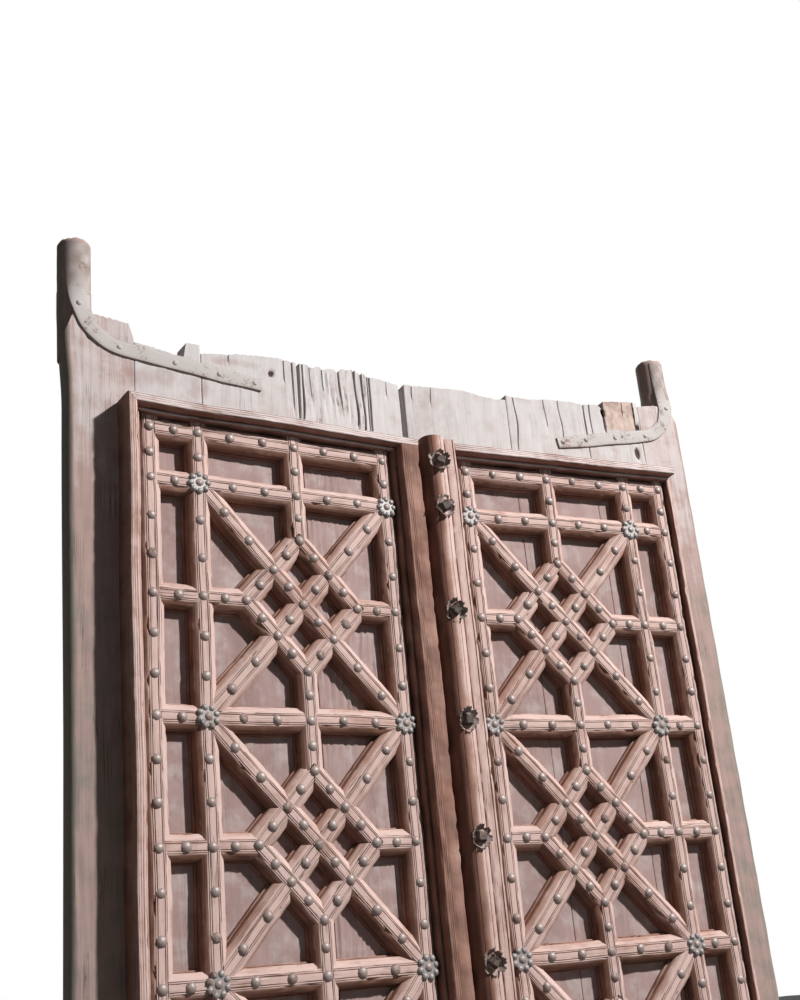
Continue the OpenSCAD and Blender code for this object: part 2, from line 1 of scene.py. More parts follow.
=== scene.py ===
"""Pair of weathered pivot door leaves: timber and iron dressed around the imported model."""
import json
import math

import bmesh
import bpy
import numpy as np
from mathutils import Matrix, Vector

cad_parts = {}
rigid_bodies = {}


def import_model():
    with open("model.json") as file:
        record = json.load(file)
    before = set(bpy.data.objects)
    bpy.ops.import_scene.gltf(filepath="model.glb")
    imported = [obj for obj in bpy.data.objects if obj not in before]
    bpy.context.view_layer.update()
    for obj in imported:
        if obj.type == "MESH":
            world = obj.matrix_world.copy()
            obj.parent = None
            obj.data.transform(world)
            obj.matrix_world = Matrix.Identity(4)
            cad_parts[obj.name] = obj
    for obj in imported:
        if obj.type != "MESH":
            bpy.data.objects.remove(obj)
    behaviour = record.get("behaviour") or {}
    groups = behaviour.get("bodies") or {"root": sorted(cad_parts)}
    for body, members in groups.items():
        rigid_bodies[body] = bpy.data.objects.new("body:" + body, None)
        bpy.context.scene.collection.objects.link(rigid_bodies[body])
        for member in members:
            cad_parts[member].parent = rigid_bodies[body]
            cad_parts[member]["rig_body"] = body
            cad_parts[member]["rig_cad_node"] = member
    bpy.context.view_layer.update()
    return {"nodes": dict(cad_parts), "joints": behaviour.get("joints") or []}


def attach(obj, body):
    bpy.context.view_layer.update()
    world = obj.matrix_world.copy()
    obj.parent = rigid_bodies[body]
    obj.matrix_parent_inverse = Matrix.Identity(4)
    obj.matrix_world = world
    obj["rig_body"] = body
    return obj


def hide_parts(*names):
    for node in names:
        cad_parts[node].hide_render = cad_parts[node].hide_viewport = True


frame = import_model()

bl_info = {
    "name": "Pivot door leaves",
    "version": (1, 0, 0),
    "blender": (4, 5, 0),
    "location": "View3D > Sidebar > Door",
    "description": "Dresses a pair of pivot door leaves with worn timber, carved bars and forged iron",
    "category": "Object",
}

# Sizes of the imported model, in millimetres
MM = 0.001
PIVOT_X = abs(frame["joints"][0]["pos_m"][0]) / MM
LEAF_Z = 106.0
AJAR = math.radians(3.0)
FACE_Y = -31.0
LEAF_W = 656.0
EDGE_R = 31.0
EDGE_ROUND = 12.0
HORN_R = 30.0
COL_PITCH = 190.0
ROW_PITCH = 205.0
NARROW_COL = 90.0
END_ROW = 95.0
SQUARES = 4
DIAMOND_X = 0.58 * COL_PITCH
DIAMOND_Z = 0.58 * ROW_PITCH
LOW_Z = 160.0
TOP_Z = LOW_Z + 2 * END_ROW + 2 * SQUARES * ROW_PITCH
HEAD_Z = TOP_Z + 190.0
BAR_H = 27.0
BAR_NECK = 21.5
BOARD_T = 40.0
FRAME_OUT = 47.0
FRAME_H = 54.0
REED_FROM = 32.5
REED_PITCH = 3.875
REED_HALF = 1.25
BEAD_OUT = 31.5
EDGE_SET = 3.0
POST_R = 23.5
POST_MID_H = 44.0
POST_LIP = 32.0
STRAP_W = 28.0
STRAP_T = 4.0
STRAP_BEND = 80.0
STRAP_X = -4.0
# Side of a bar turned towards the key light, right and up on the face; that side is painted paler and the
# side turned away painted darker
LIGHT_SIDE = (0.76, 0.65)
# How far a bar's end is tucked under the flat of the bar that runs over it
TUCK = 10.0
# How far the line of a frame piece runs past the corners before it is cut there
PAST = 60.0
# Out to this distance from its bar the frame's meeting corners are mitred; further out the rail runs through
MITRE = 31.55
# How far below the level of its top a board's, and a stile's, even rows of vertices end
BOARD_END = 40.0
STILE_END = 60.0
# Strength of the ambient light
AMBIENT = 0.07
# Colour at the bottom of cracks and grooves, and of painted shade on sides and hollows turned from the light
DARK = (0.05, 0.03, 0.024)
# Vertices closer than this, in metres, become one
MERGE = 1e-5

ROWS = [TOP_Z] + [TOP_Z - END_ROW - i * ROW_PITCH for i in range(2 * SQUARES + 1)] + [LOW_Z]
LAST = len(ROWS) - 1


def is_mid(row):
    return 0 < row < LAST and row % 2 == 0


def mid_z(square):
    return ROWS[2 * square + 2]


class Leaf:
    """One leaf in millimetres: x from pivot axis to meeting edge, y into the room, z up from its foot."""

    def __init__(self, side):
        left = side == "left"
        self.side = side
        self.body = side + "_leaf"
        self.mirror = 1.0 if left else -1.0
        self.seed = 100 if left else 500
        first = 113.0 if left else 81.0
        self.cols = [first] + [first + NARROW_COL + i * COL_PITCH for i in range(3)]
        self.stile_in = 99.0 if left else 77.0
        self.shoulder = TOP_Z + (213.0 if left else 218.0)
        self.shoulder_drop = 36.0 if left else 8.0
        self.narrowing = 13.0 if left else 0.0
        self.horn_top = TOP_Z + (367.0 if left else 340.0)
        self.strap_at = TOP_Z + (246.0 if left else 231.0)
        self.strap_len = 347.0 if left else 302.0
        self.strap_slope = math.radians(5.0 if left else 10.0)
        self.strap_wrap = math.radians(54.0 if left else 36.0)
        self.through = 1 if left else -1

    def world(self, x, y, z):
        c, s = math.cos(AJAR), math.sin(AJAR)
        return np.stack([(x * c - y * s - PIVOT_X) * self.mirror, x * s + y * c, z + LEAF_Z], -1) * MM


LEAVES = [Leaf("left"), Leaf("right")]


def size(name, description, default, top):
    return bpy.props.FloatProperty(name=name, description=description, default=default, min=0.0, max=top,
                                   unit="LENGTH", precision=5)


def colour(name, description, default):
    return bpy.props.FloatVectorProperty(name=name, description=description, default=default, size=3,
                                         min=0.0, max=1.0, subtype="COLOR")


class DoorWear(bpy.types.PropertyGroup):
    """How far the timber is worn"""
    edge: size("Edge wear", "Rounding along the edges of bars and frames", 0.0007, 0.003)
    chip: size("Chips", "Depth of the chips along the edges", 0.0030, 0.006)
    bow: size("Bow", "How far a bar wanders from its line", 0.0009, 0.004)
    grain: size("Board relief", "Unevenness of the boards' faces", 0.0007, 0.003)
    crack: size("Cracks", "Depth of the cracks in the board tops", 0.009, 0.02)
    ring: size("Ring spacing", "Distance between the rings of vertices along a bar", 0.010, 0.05)


class DoorColours(bpy.types.PropertyGroup):
    """Colours of the finishes"""
    board_pale: colour("Bleached board", "Boards bleached by the weather", (0.505, 0.48, 0.48))
    board_rosy: colour("Board blotches", "Browner blotches on the bleached boards", (0.40, 0.325, 0.315))
    board_deep: colour("Board grain", "Open grain of the bleached boards", (0.23, 0.18, 0.165))
    panel_pale: colour("Panel", "Boards behind the lattice", (0.34, 0.243, 0.232))
    panel_deep: colour("Panel stains", "Stains behind the lattice", (0.22, 0.145, 0.13))
    tenon: colour("Tenon", "Old tenon in a board's top", (0.47, 0.37, 0.325))
    bar_pale: colour("Bleached bar", "Front of the lattice bars", (0.54, 0.395, 0.36))
    bar_middle: colour("Bar red", "Shoulders of the lattice bars", (0.36, 0.215, 0.175))
    # The deep bar and frame colours also serve as painted shade on sides turned from the light
    bar_deep: colour("Bar brown", "Sheltered sides of the lattice bars", (0.21, 0.105, 0.075))
    frame_pale: colour("Bleached frame", "Front of the moulded frame", (0.60, 0.51, 0.50))
    frame_middle: colour("Frame red", "Worn parts of the moulded frame", (0.32, 0.187, 0.15))
    frame_deep: colour("Frame brown", "Sheltered sides of the moulded frame", (0.23, 0.112, 0.083))
    stile_pale: colour("Bleached stile", "Top of the pivot stiles", (0.475, 0.415, 0.41))
    stile_middle: colour("Stile brown", "Lower front of the pivot stiles", (0.345, 0.245, 0.225))
    stile_edge: colour("Stile edge", "Rounded outer edge of the pivot stiles", (0.225, 0.198, 0.17))
    iron: colour("Stud iron", "Studs and nails", (0.27, 0.215, 0.20))
    iron_dark: colour("Iron rust", "Rust on the iron", (0.17, 0.105, 0.085))
    silver: colour("Rosette iron", "Bright iron of the rosettes", (0.25, 0.23, 0.225))
    strap: colour("Strap iron", "Weathered strap iron", (0.39, 0.36, 0.35))
    boss: colour("Boss iron", "Heads of the post's bosses", (0.06, 0.042, 0.036))


# Noise and selection


def wave(seed, *axes):
    """Smooth noise of about -1 to 1: a sum of sines with seeded phases.

    Each axis is its values and a wavelength.
    """
    rng = np.random.default_rng(seed)
    total = 0.0
    for _ in range(5):
        turn = rng.uniform(0.0, 2 * math.pi)
        for values, length in axes:
            turn = turn + values * (2 * math.pi / length) * rng.uniform(0.6, 1.7) * rng.choice([-1.0, 1.0])
        total = total + np.sin(turn)
    return total / 2.4


def smooth(x, low, high):
    t = np.clip((x - low) / (high - low), 0.0, 1.0)
    return t * t * (3 - 2 * t)


def deselect():
    if bpy.context.mode != "OBJECT":
        bpy.ops.object.mode_set(mode="OBJECT")
    bpy.ops.object.select_all(action="DESELECT")


def select(*pieces):
    deselect()
    for piece in pieces:
        piece.select_set(True)
    bpy.context.view_layer.objects.active = pieces[-1]


def join(pieces):
    select(*pieces)
    if len(pieces) > 1:
        bpy.ops.object.join()
    return bpy.context.object


def edit():
    """Edit mode, with all of the active mesh selected."""
    bpy.ops.object.mode_set(mode="EDIT")
    bpy.ops.mesh.select_all(action="SELECT")


def set_mark(mesh, name, values):
    """A value at each vertex, for the finishes to read."""
    layer = mesh.attributes.new(name, "FLOAT", "POINT")
    layer.data.foreach_set("value", np.asarray(values, np.float32).ravel())


def dress(piece, node, body, material, angle=35.0):
    """Names a finished piece, shades it, and lets it stand for its node."""
    piece.name = node + "_dressed"
    piece.data.name = piece.name
    select(piece)
    bpy.ops.object.shade_smooth_by_angle(angle=math.radians(angle))
    piece.data.materials.clear()
    piece.data.materials.append(finishes()[material])
    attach(piece, body)
    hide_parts(node)
    return piece


# Timber


def wrap(points, uv, marks):
    """A grid wrapped into a closed timber, points[around][along] in metres, with its UV and marks."""
    around, along = points.shape[0] - 1, points.shape[1] - 1
    deselect()
    bpy.ops.mesh.primitive_grid_add(x_subdivisions=along, y_subdivisions=around, size=1.0)
    piece = bpy.context.object
    mesh = piece.data
    mesh.vertices.foreach_set("co", points.astype(np.float32).ravel())
    corner = np.zeros(len(mesh.loops), np.int32)
    mesh.loops.foreach_get("vertex_index", corner)
    mesh.uv_layers.active.data.foreach_set("uv", uv.reshape(-1, 2)[corner].astype(np.float32).ravel())
    for name, values in marks.items():
        set_mark(mesh, name, np.broadcast_to(values, points.shape[:2]))
    mesh.update()
    edit()
    bpy.ops.mesh.remove_doubles(threshold=MERGE)
    bpy.ops.mesh.fill_holes(sides=0)
    bpy.ops.mesh.normals_make_consistent(inside=False)
    bpy.ops.object.mode_set(mode="OBJECT")
    solid = bmesh.new()
    solid.from_mesh(mesh)
    if solid.calc_volume(signed=True) < 0.0:
        mesh.flip_normals()
    solid.free()
    return piece


def closed(rows):
    return np.concatenate([rows, rows[:1]], 0)


def girth(across, off):
    """Distance round a section from its first point to each point, and back to the first."""
    p = closed(np.stack([across, off], -1))
    return np.concatenate([[0.0], np.cumsum(np.linalg.norm(np.diff(p, axis=0), axis=1))])


def both(front, back):
    """Rows of a timber's front, then of its back, with the first and last of each row twice for its ends."""
    return capped(np.concatenate([front, back[::-1]], 0))


def capped(rows):
    return np.concatenate([rows[:, :1], rows, rows[:, -1:]], 1)


def risen(zs, top):
    """Heights of a timber's rows: even ones as far as zs, then eight more up to its ragged top."""
    ends = zs[-1] + (top - zs[-1])[:, None] * np.linspace(0.0, 1.0, 9)[1:]
    return np.concatenate([np.broadcast_to(zs, (len(top), len(zs))), ends], 1)


def flat(around, along):
    """UV of a wrapped grid, in metres: distance round it and along it."""
    return np.stack(np.broadcast_arrays(around[:, None], along), -1) * MM


def marks_for(shape, **values):
    """Marks of a closed timber, each spread over its points."""
    return {name: closed(np.broadcast_to(v, shape)) for name, v in values.items()}


def mirrored(half):
    return np.array([(-u, *rest) for u, *rest in reversed(half)] + list(half))


# Sections: across the bar, off the boards, bleached and painted light, worn edge, grime and painted shade in
# grooves, hollows and feet
BAR = mirrored([
    (1.8, 27.0, 1.0, 0.0, 0.0), (4.9, 27.0, 1.0, 0.1, 0.1), (5.5, 26.6, 0.85, 0.3, 0.5),
    (6.1, 25.2, 0.4, 0.0, 1.0), (6.7, 26.6, 0.85, 0.3, 0.5), (7.2, 26.9, 1.0, 0.1, 0.1),
    (8.3, 26.9, 1.0, 0.1, 0.1), (8.8, 26.5, 0.85, 0.2, 0.5), (9.3, 25.3, 0.4, 0.0, 1.0),
    (9.8, 26.3, 0.9, 0.3, 0.4), (10.4, 26.7, 1.0, 0.7, 0.0), (11.4, 26.4, 1.0, 1.0, 0.0),
    (12.4, 25.7, 0.95, 0.8, 0.0), (16.5, 22.2, 0.8, 0.2, 0.0), (20.7, 18.8, 0.7, 0.3, 0.0),
    (21.4, 17.8, 0.5, 0.7, 0.0), (21.5, 16.6, 0.35, 0.2, 0.0), (21.5, 9.0, 0.25, 0.0, 0.3),
    (21.9, 8.1, 0.2, 0.0, 0.8), (24.4, 8.0, 0.5, 0.5, 0.1), (25.0, 7.2, 0.3, 0.6, 0.0),
    (25.0, 0.0, 0.1, 0.0, 0.6),
])


# Bead that the frames of both leaves begin with
BEAD = [
    (21.5, 0.0, 0.0, 0.0, 1.0), (21.5, 26.5, 0.1, 0.0, 0.9), (21.5, 34.6, 0.25, 0.1, 0.3),
    (22.6, 36.4, 0.85, 0.6, 0.0), (24.5, 37.0, 1.0, 0.8, 0.0), (26.4, 36.5, 0.9, 0.5, 0.1),
]


def frame_section(out):
    """Bead, hollow and reeded face of the moulded frame, as far as out."""
    points = BEAD + [
        (27.5, 35.0, 0.4, 0.0, 0.8), (28.4, 35.0, 0.15, 0.0, 1.0), (28.8, 38.5, 0.18, 0.0, 0.3),
        (29.5, 43.5, 0.2, 0.0, 0.0), (30.2, 48.6, 0.25, 0.3, 0.0), (30.3, 51.3, 0.3, 0.3, 0.3),
        (31.3, 51.8, 0.5, 0.2, 0.7), (31.5, 52.6, 0.6, 0.4, 0.2), (31.7, 53.3, 0.9, 0.8, 0.0),
        (33.0, 54.0, 1.0, 0.4, 0.0),
    ]
    for i in (1, 2, 3):
        g = REED_FROM + REED_PITCH * i
        points += [(g - REED_HALF, FRAME_H, 1.0, 0.2, 0.0), (g, FRAME_H - 1.0, 0.85, 0.0, 0.25),
                   (g + REED_HALF, FRAME_H, 1.0, 0.2, 0.0)]
    points += [(out - 1.6, FRAME_H, 1.0, 0.5, 0.0), (out - 0.5, 53.4, 0.9, 1.0, 0.0),
               (out, 52.0, 0.6, 0.8, 0.0), (out, 0.0, 0.1, 0.0, 0.6)]
    return np.array(points)


def bead_section():
    """Bead with a plain fillet, all that the right leaf has on its hinge side."""
    return np.array(BEAD + [
        (27.5, 35.0, 0.5, 0.0, 0.8), (28.2, 34.1, 0.7, 0.0, 0.3), (29.2, 34.0, 0.9, 0.3, 0.0),
        (30.6, 33.9, 0.9, 0.6, 0.0), (31.5, 32.8, 0.6, 0.6, 0.0), (31.5, 0.0, 0.1, 0.0, 0.6),
    ])


# Degrees round the post, closer together at the two lines cut along it
POST_LINES = (108, 62)
POST_TURNS = [*range(166, 119, -8), 113, 109.5, 108, 106.5, 103, *range(96, 69, -8),
              66, 63.5, 62, 60.5, 57, *range(50, -1, -8), 0]


def post_section(mid):
    """Lip and half-round of the meeting post."""
    points = [
        (21.5, 0.0, 0.0, 0.0, 1.0), (21.5, 27.0, 0.2, 0.0, 0.8), (24.5, 29.0, 0.2, 0.0, 0.3),
        (27.5, 38.5, 0.2, 0.0, 0.1), (30.5, 49.0, 0.3, 0.2, 0.0), (31.5, 52.8, 0.6, 0.8, 0.0),
        (33.0, 54.0, 0.9, 0.7, 0.0), (36.2, 54.0, 0.95, 0.1, 0.2), (37.5, 52.3, 0.5, 0.0, 1.0),
        (38.8, 54.0, 0.95, 0.1, 0.2), (46.0, 54.0, 1.0, 0.0, 0.0), (52.6, 54.0, 1.0, 0.5, 0.0),
        (54.0, 53.0, 0.8, 0.7, 0.1), (55.0, 49.2, 0.4, 0.0, 1.0),
    ]
    for degrees in POST_TURNS:
        r, a = POST_R, math.radians(degrees)
        # Painted shade: the half of the post turned from the light is left unbleached and darkened
        pale, dirt_and_painted_shade = np.interp(degrees, [60, 98], [0.0, 0.95]), np.interp(degrees, [45, 95], [0.5, 0.0])
        if degrees in POST_LINES:
            r, pale, dirt_and_painted_shade = POST_R - 2.2, 0.6 * pale, 1.0
        points.append((mid + r * math.cos(a), POST_MID_H + r * math.sin(a), pale, 0.0, dirt_and_painted_shade))
    return np.array(points + [(mid + POST_R, 0.0, 0.2, 0.0, 0.4)])


def batten_section():
    """Rounded rectangle behind the boards."""
    out, deep, r = 45.0, -BOARD_T - 34.0, 3.0
    return mirrored([
        (14.0, deep, 0.7, 0.0, 0.0), (30.0, deep, 0.7, 0.1, 0.0), (out - r, deep, 0.7, 0.8, 0.0),
        (out - 0.9, deep + 0.9, 0.8, 1.0, 0.0), (out, deep + r, 0.6, 0.8, 0.0),
        (out, deep / 2 - 20, 0.5, 0.0, 0.0), (out, -BOARD_T, 0.2, 0.0, 0.7),
    ])


def line(x, z, dx, dz):
    """A cut line on the face of the boards, through a point and along a direction."""
    return np.array([x, z], float), np.array([dx, dz], float)


def cut_at(cut, a, d, n, u, plain):
    """Where each edge of a bar meets its cut: plain for a square end, else picked from some lines."""
    if cut is None:
        return np.full(len(u), plain)
    pick, lines = cut
    found = []
    for p, e in lines:
        m = np.array([-e[1], e[0]])
        found.append(((p - a) @ m - (n @ m) * u) / (d @ m))
    return pick(found, axis=0)


def bar(leaf, section, a, b, start=None, stop=None, seed=0, drop=0.0, wear=1.0):
    """A worn bar with the given section, from a to b on the face of the boards, cut at both ends."""
    made = bpy.context.scene.door_wear
    a, b = np.array(a, float), np.array(b, float)
    run = np.linalg.norm(b - a)
    d = (b - a) / run
    n = np.array([-d[1], d[0]])
    u, h, bleach, edge, groove = section.T
    t0 = cut_at(start, a, d, n, u, 0.0)
    t1 = cut_at(stop, a, d, n, u, run)
    steps = max(2, round(float((t1 - t0).mean()) / (made.ring / MM)))
    t = t0[:, None] + (t1 - t0)[:, None] * np.linspace(0.0, 1.0, steps + 1)
    mid = np.array([(u.min() + u.max()) / 2, (h.min() + h.max()) / 2])
    inward = mid[:, None] - np.stack([u, h])
    inward = inward / np.maximum(np.linalg.norm(inward, axis=0), 1e-6)
    key = leaf.seed * 1000 + seed
    chips = np.clip(wave(key, (t, 55.0), (u[:, None], 30.0)) - 0.6, 0.0, 1.0)
    pull = edge[:, None] * wear * (made.edge * (0.8 + 0.5 * wave(key + 1, (t, 90.0), (u[:, None], 40.0)))
                                   + made.chip * 2.2 * chips) / MM
    bow = made.bow / MM * wear
    front = smooth(np.abs(h), 6.0, 18.0)[:, None]
    across = u[:, None] + inward[0][:, None] * pull + bow * wave(key + 2, (t, 420.0))
    off = h[:, None] + inward[1][:, None] * pull + front * (
        0.6 * bow * wave(key + 3, (t, 300.0)) + 0.22 * wave(key + 4, (t, 40.0), (u[:, None], 15.0)))
    filled = np.clip(wave(key + 5, (t, 150.0), (u[:, None], 50.0)) - 0.2, 0.0, 1.0)
    off = off + groove[:, None] * front * 1.1 * filled
    off = off - drop * np.clip(h / BAR_H, 0.0, 1.0)[:, None]
    points = leaf.world(a[0] + d[0] * t + n[0] * across, FACE_Y - off, a[1] + d[1] * t + n[1] * across)
    rng = np.random.default_rng(key)
    away = rng.uniform(0.0, 40000.0)
    uv = flat(girth(u, h) + rng.uniform(0.0, 9000.0), closed(t) + away)
    # Painted light and shade on top of the weathering: the side of a bar turned to the key light is made
    # paler, the side turned away darker and grimier
    if u.min() < 0.0 < h.max():
        toward_light = np.sign(u) * (n[0] * leaf.mirror * LIGHT_SIDE[0] + n[1] * LIGHT_SIDE[1])
        groove = np.where(np.abs(u) > 13.0, np.maximum(groove, -0.5 * toward_light), groove)
        turned = np.clip(bleach + np.where(toward_light > 0, 0.2, 1.1) * toward_light, 0.0, 1.0)
        bleach = np.where(np.abs(u) > 12.0, turned, bleach)
    broken = np.clip(0.55 + 0.7 * wave(key + 6, (t, 130.0), (u[:, None], 25.0)), 0.12, 1.0)
    marks = marks_for(t.shape, bleach=bleach[:, None], edge=edge[:, None] + 1.5 * chips * edge[:, None],
                      groove=groove[:, None] * broken, tint=rng.uniform(0.0, 1.0))
    return wrap(closed(points), uv, marks)


def lattice_uprights(leaf):
    x, pieces = leaf.cols, []
    for i in (0, 1, 3):
        pieces.append(bar(leaf, BAR, (x[i], LOW_Z - BAR_NECK), (x[i], TOP_Z + BAR_NECK), seed=i * 10))
    for k in range(SQUARES + 1):
        low, high = (x[2], LOW_Z - BAR_NECK), (x[2], TOP_Z + BAR_NECK)
        start = stop = None
        if k < SQUARES:
            low = (x[2], mid_z(k) + DIAMOND_Z)
            start = (np.min, corner_lines(low, 0.0, 1.0))
        if k > 0:
            high = (x[2], mid_z(k - 1) - DIAMOND_Z)
            stop = (np.max, corner_lines(high, 0.0, -1.0))
        pieces.append(bar(leaf, BAR, low, high, start, stop, seed=40 + k * 10))
    return pieces


def corner_lines(corner, sx, sz):
    """The two sides of a diamond at a corner, moved out by the tuck; sx, sz point away from the diamond."""
    lines = []
    reach = math.hypot(DIAMOND_X, DIAMOND_Z)
    for s in (-1.0, 1.0):
        ox, oz = (s, sz) if sx == 0.0 else (sx, s)
        out = np.array([ox * DIAMOND_Z, oz * DIAMOND_X]) / reach
        p = np.array(corner) + TUCK * out
        lines.append((p, np.array([-out[1], out[0]])))
    return lines


def at_upright(x, side):
    return line(x + side * TUCK, 0.0, 0.0, 1.0)


def at_rail(z, side):
    return line(0.0, z + side * TUCK, 1.0, 0.0)


def lattice_rails(leaf):
    x, pieces = leaf.cols, []
    for row, z in enumerate(ROWS):
        for i in range(3):
            a, b = (x[i], z), (x[i + 1], z)
            start, stop = (np.max, [at_upright(x[i], 1)]), (np.min, [at_upright(x[i + 1], -1)])
            if is_mid(row) and i == 1:
                stop = (np.max, corner_lines((x[2] - DIAMOND_X, z), -1.0, 0.0))
            if is_mid(row) and i == 2:
                start = (np.min, corner_lines((x[2] + DIAMOND_X, z), 1.0, 0.0))
            pieces.append(bar(leaf, BAR, a, b, start, stop, seed=200 + row * 20 + i, drop=0.4))
    return pieces


def square_cuts(leaf, k, lean):
    """Cuts of a slanting bar in the corners of its square."""
    x = leaf.cols
    first, last = (ROWS[2 * k + 1], ROWS[2 * k + 3]) if lean > 0 else (ROWS[2 * k + 3], ROWS[2 * k + 1])
    start = (np.max, [at_upright(x[1], 1), at_rail(first, -lean)])
    stop = (np.min, [at_upright(x[3], -1), at_rail(last, lean)])
    return start, stop


def slant_lines(leaf, k, lean):
    """The slanting lines of one square and direction: corner to corner, and the two sides of the diamond."""
    m = np.array([leaf.cols[2], mid_z(k)])
    d = np.array([COL_PITCH, -lean * ROW_PITCH])
    start, stop = square_cuts(leaf, k, lean)
    on_x, on_z = [line(m[0], m[1], 0.0, 1.0)], [line(m[0], m[1], 1.0, 0.0)]
    low = m + np.array([-DIAMOND_X, 0.0]), m + np.array([0.0, -lean * DIAMOND_Z])
    high = m + np.array([0.0, lean * DIAMOND_Z]), m + np.array([DIAMOND_X, 0.0])
    return [(m - d, m + d, start, stop),
            (*low, (np.max, on_z), (np.min, on_x)),
            (*high, (np.max, on_x), (np.min, on_z))]


def lattice_through(leaf):
    pieces = []
    for k in range(SQUARES):
        for i, (a, b, start, stop) in enumerate(slant_lines(leaf, k, leaf.through)):
            pieces.append(bar(leaf, BAR, a, b, start, stop, seed=500 + k * 20 + i, drop=0.3))
    return pieces


def lattice_lapped(leaf):
    """Slanting bars that stop on each through bar and go on behind it."""
    pieces = []
    lean = -leaf.through
    over = np.array([COL_PITCH, -leaf.through * ROW_PITCH])
    along = np.array([COL_PITCH, -lean * ROW_PITCH])
    side = np.array([-over[1], over[0]]) / np.linalg.norm(over)
    side = side * np.sign(side @ along)
    half = np.array([DIAMOND_X, leaf.through * DIAMOND_Z]) / 2
    for k in range(SQUARES):
        m = np.array([leaf.cols[2], mid_z(k)])
        for i, (a, b, start, stop) in enumerate(slant_lines(leaf, k, lean)):
            crossings = [m - half, m, m + half] if i == 0 else [m]
            cuts = [start]
            for p in crossings:
                cuts.append((np.min, [(p - TUCK * side, over)]))
                cuts.append((np.max, [(p + TUCK * side, over)]))
            cuts.append(stop)
            for j in range(0, len(cuts), 2):
                seed = 700 + k * 60 + i * 15 + j
                pieces.append(bar(leaf, BAR, a, b, cuts[j], cuts[j + 1], seed=seed, drop=0.8))
    return pieces


def frame_rail(leaf, top):
    x = leaf.cols
    z = TOP_Z if top else LOW_Z
    a, b = np.array([x[0] - PAST, z]), np.array([x[3] + PAST, z])
    face = frame_section(FRAME_OUT)
    u = face[:, 0]
    if leaf.side == "left":
        begin, end = x[0] - u, np.where(u > MITRE, LEAF_W - EDGE_SET, x[3] + u)
    else:
        begin, end = x[0] - np.minimum(u, BEAD_OUT), np.full(len(u), x[3] + POST_LIP)
    near = (lambda found, axis: begin - a[0] if top else b[0] - begin, [])
    far = (lambda found, axis: end - a[0] if top else b[0] - end, [])
    if top:
        return [bar(leaf, face, a, b, near, far, seed=900, wear=0.8)]
    return [bar(leaf, face, b, a, far, near, seed=910, wear=0.8)]


def frame_hinge(leaf):
    x = leaf.cols[0]
    cuts = (np.max, [line(x, LOW_Z, -1.0, -1.0)]), (np.min, [line(x, TOP_Z, -1.0, 1.0)])
    face = frame_section(FRAME_OUT) if leaf.side == "left" else bead_section()
    return [bar(leaf, face, (x, LOW_Z - PAST), (x, TOP_Z + PAST), *cuts, seed=920, wear=0.8)]


def frame_meeting(leaf):
    x = leaf.cols[3]
    face = frame_section(LEAF_W - EDGE_SET - x)
    # Painted shadow: the post's shadow across this frame is painted in as less bleached and darker colour
    face[:, 2] *= 0.35
    face[:, 4] = np.maximum(face[:, 4], 0.55)
    reach = np.minimum(face[:, 0], MITRE)
    top = (lambda found, axis: PAST - reach, [])
    low = (lambda found, axis: TOP_Z - LOW_Z + PAST + reach, [])
    return [bar(leaf, face, (x, TOP_Z + PAST), (x, LOW_Z - PAST), top, low, seed=930, wear=0.8)]


def meeting_post(leaf):
    x = leaf.cols[3]
    mid = LEAF_W - EDGE_SET - x - POST_R
    rise = FRAME_OUT + 6.0
    return [bar(leaf, post_section(mid), (x, TOP_Z + rise), (x, LOW_Z - rise), seed=940, wear=1.2)]


def battens(leaf):
    first, rise, count = 115.0, 40.0, 5
    step = (TOP_Z + rise - 2 * first) / (count - 1)
    pieces = []
    for i in range(count):
        z = first + i * step + rise
        pieces.append(bar(leaf, batten_section(), (leaf.stile_in, z), (LEAF_W - 8.0, z), seed=960 + i * 7))
    return pieces


# Board tops: share of the board's width, height against the level of the tops
TOPS = {
    "left_board_1": [(0, -18), (0.28, -21), (0.6, -28), (0.76, -29), (0.78, 1), (1, 1)],
    "left_board_2": [(0, -16), (0.12, -12), (0.3, -7), (0.33, -4), (0.55, 1), (0.8, 5), (1, 2)],
    "left_board_3": [(0, 3), (0.12, 3), (0.2, -2), (0.34, 3), (0.36, -2), (0.52, 5), (0.6, -4), (0.64, 7),
                     (0.86, 11), (0.9, 1), (0.95, 8), (1, 4)],
    "left_board_4": [(0, 2), (0.4, 1), (1, -4)],
    "right_board_1": [(0, 28), (0.08, 29), (0.64, 21), (0.66, 2), (0.72, 10), (0.8, 11), (1, 8)],
    "right_board_2": [(0, 8), (0.17, 10), (0.43, 9), (0.69, 3), (0.9, 4), (1, 5)],
    "right_board_3": [(0, -5), (0.1, -7), (0.25, -4), (0.45, 4), (0.75, 1), (1, -1)],
}
# Joints between the boards, as shares of the leaf's width
JOINTS = {"left": (0.346, 0.649, 0.886), "right": (0.337, 0.636)}
# Cracks from the tops: share of the board's width, length, half width, depth against the crack depth
CRACKS = {
    "left_board_1": [(0.44, 30, 0.5, 0.3)],
    "left_board_2": [(0.28, 34, 0.5, 0.5), (0.86, 60, 0.5, 0.6), (0.95, 120, 0.8, 0.9)],
    "left_board_3": [(0.05, 190, 1.3, 1.5), (0.17, 90, 0.7, 0.8), (0.36, 60, 0.6, 0.7), (0.6, 110, 0.9, 0.8),
                     (0.83, 150, 1.7, 1.6), (0.93, 190, 1.5, 1.5)],
    "left_board_4": [(0.06, 170, 1.3, 1.2), (0.6, 50, 0.4, 0.3)],
    "right_board_1": [(0.09, 60, 1.0, 1.4), (0.3, 26, 0.4, 0.3), (0.655, 60, 1.8, 1.9), (0.9, 84, 0.7, 0.8)],
    "right_board_2": [(0.33, 120, 0.5, 0.5), (0.52, 80, 0.4, 0.4), (0.9, 150, 0.7, 0.9)],
    "right_board_3": [(0.75, 60, 0.4, 0.3), (0.93, 50, 0.4, 0.3)],
}
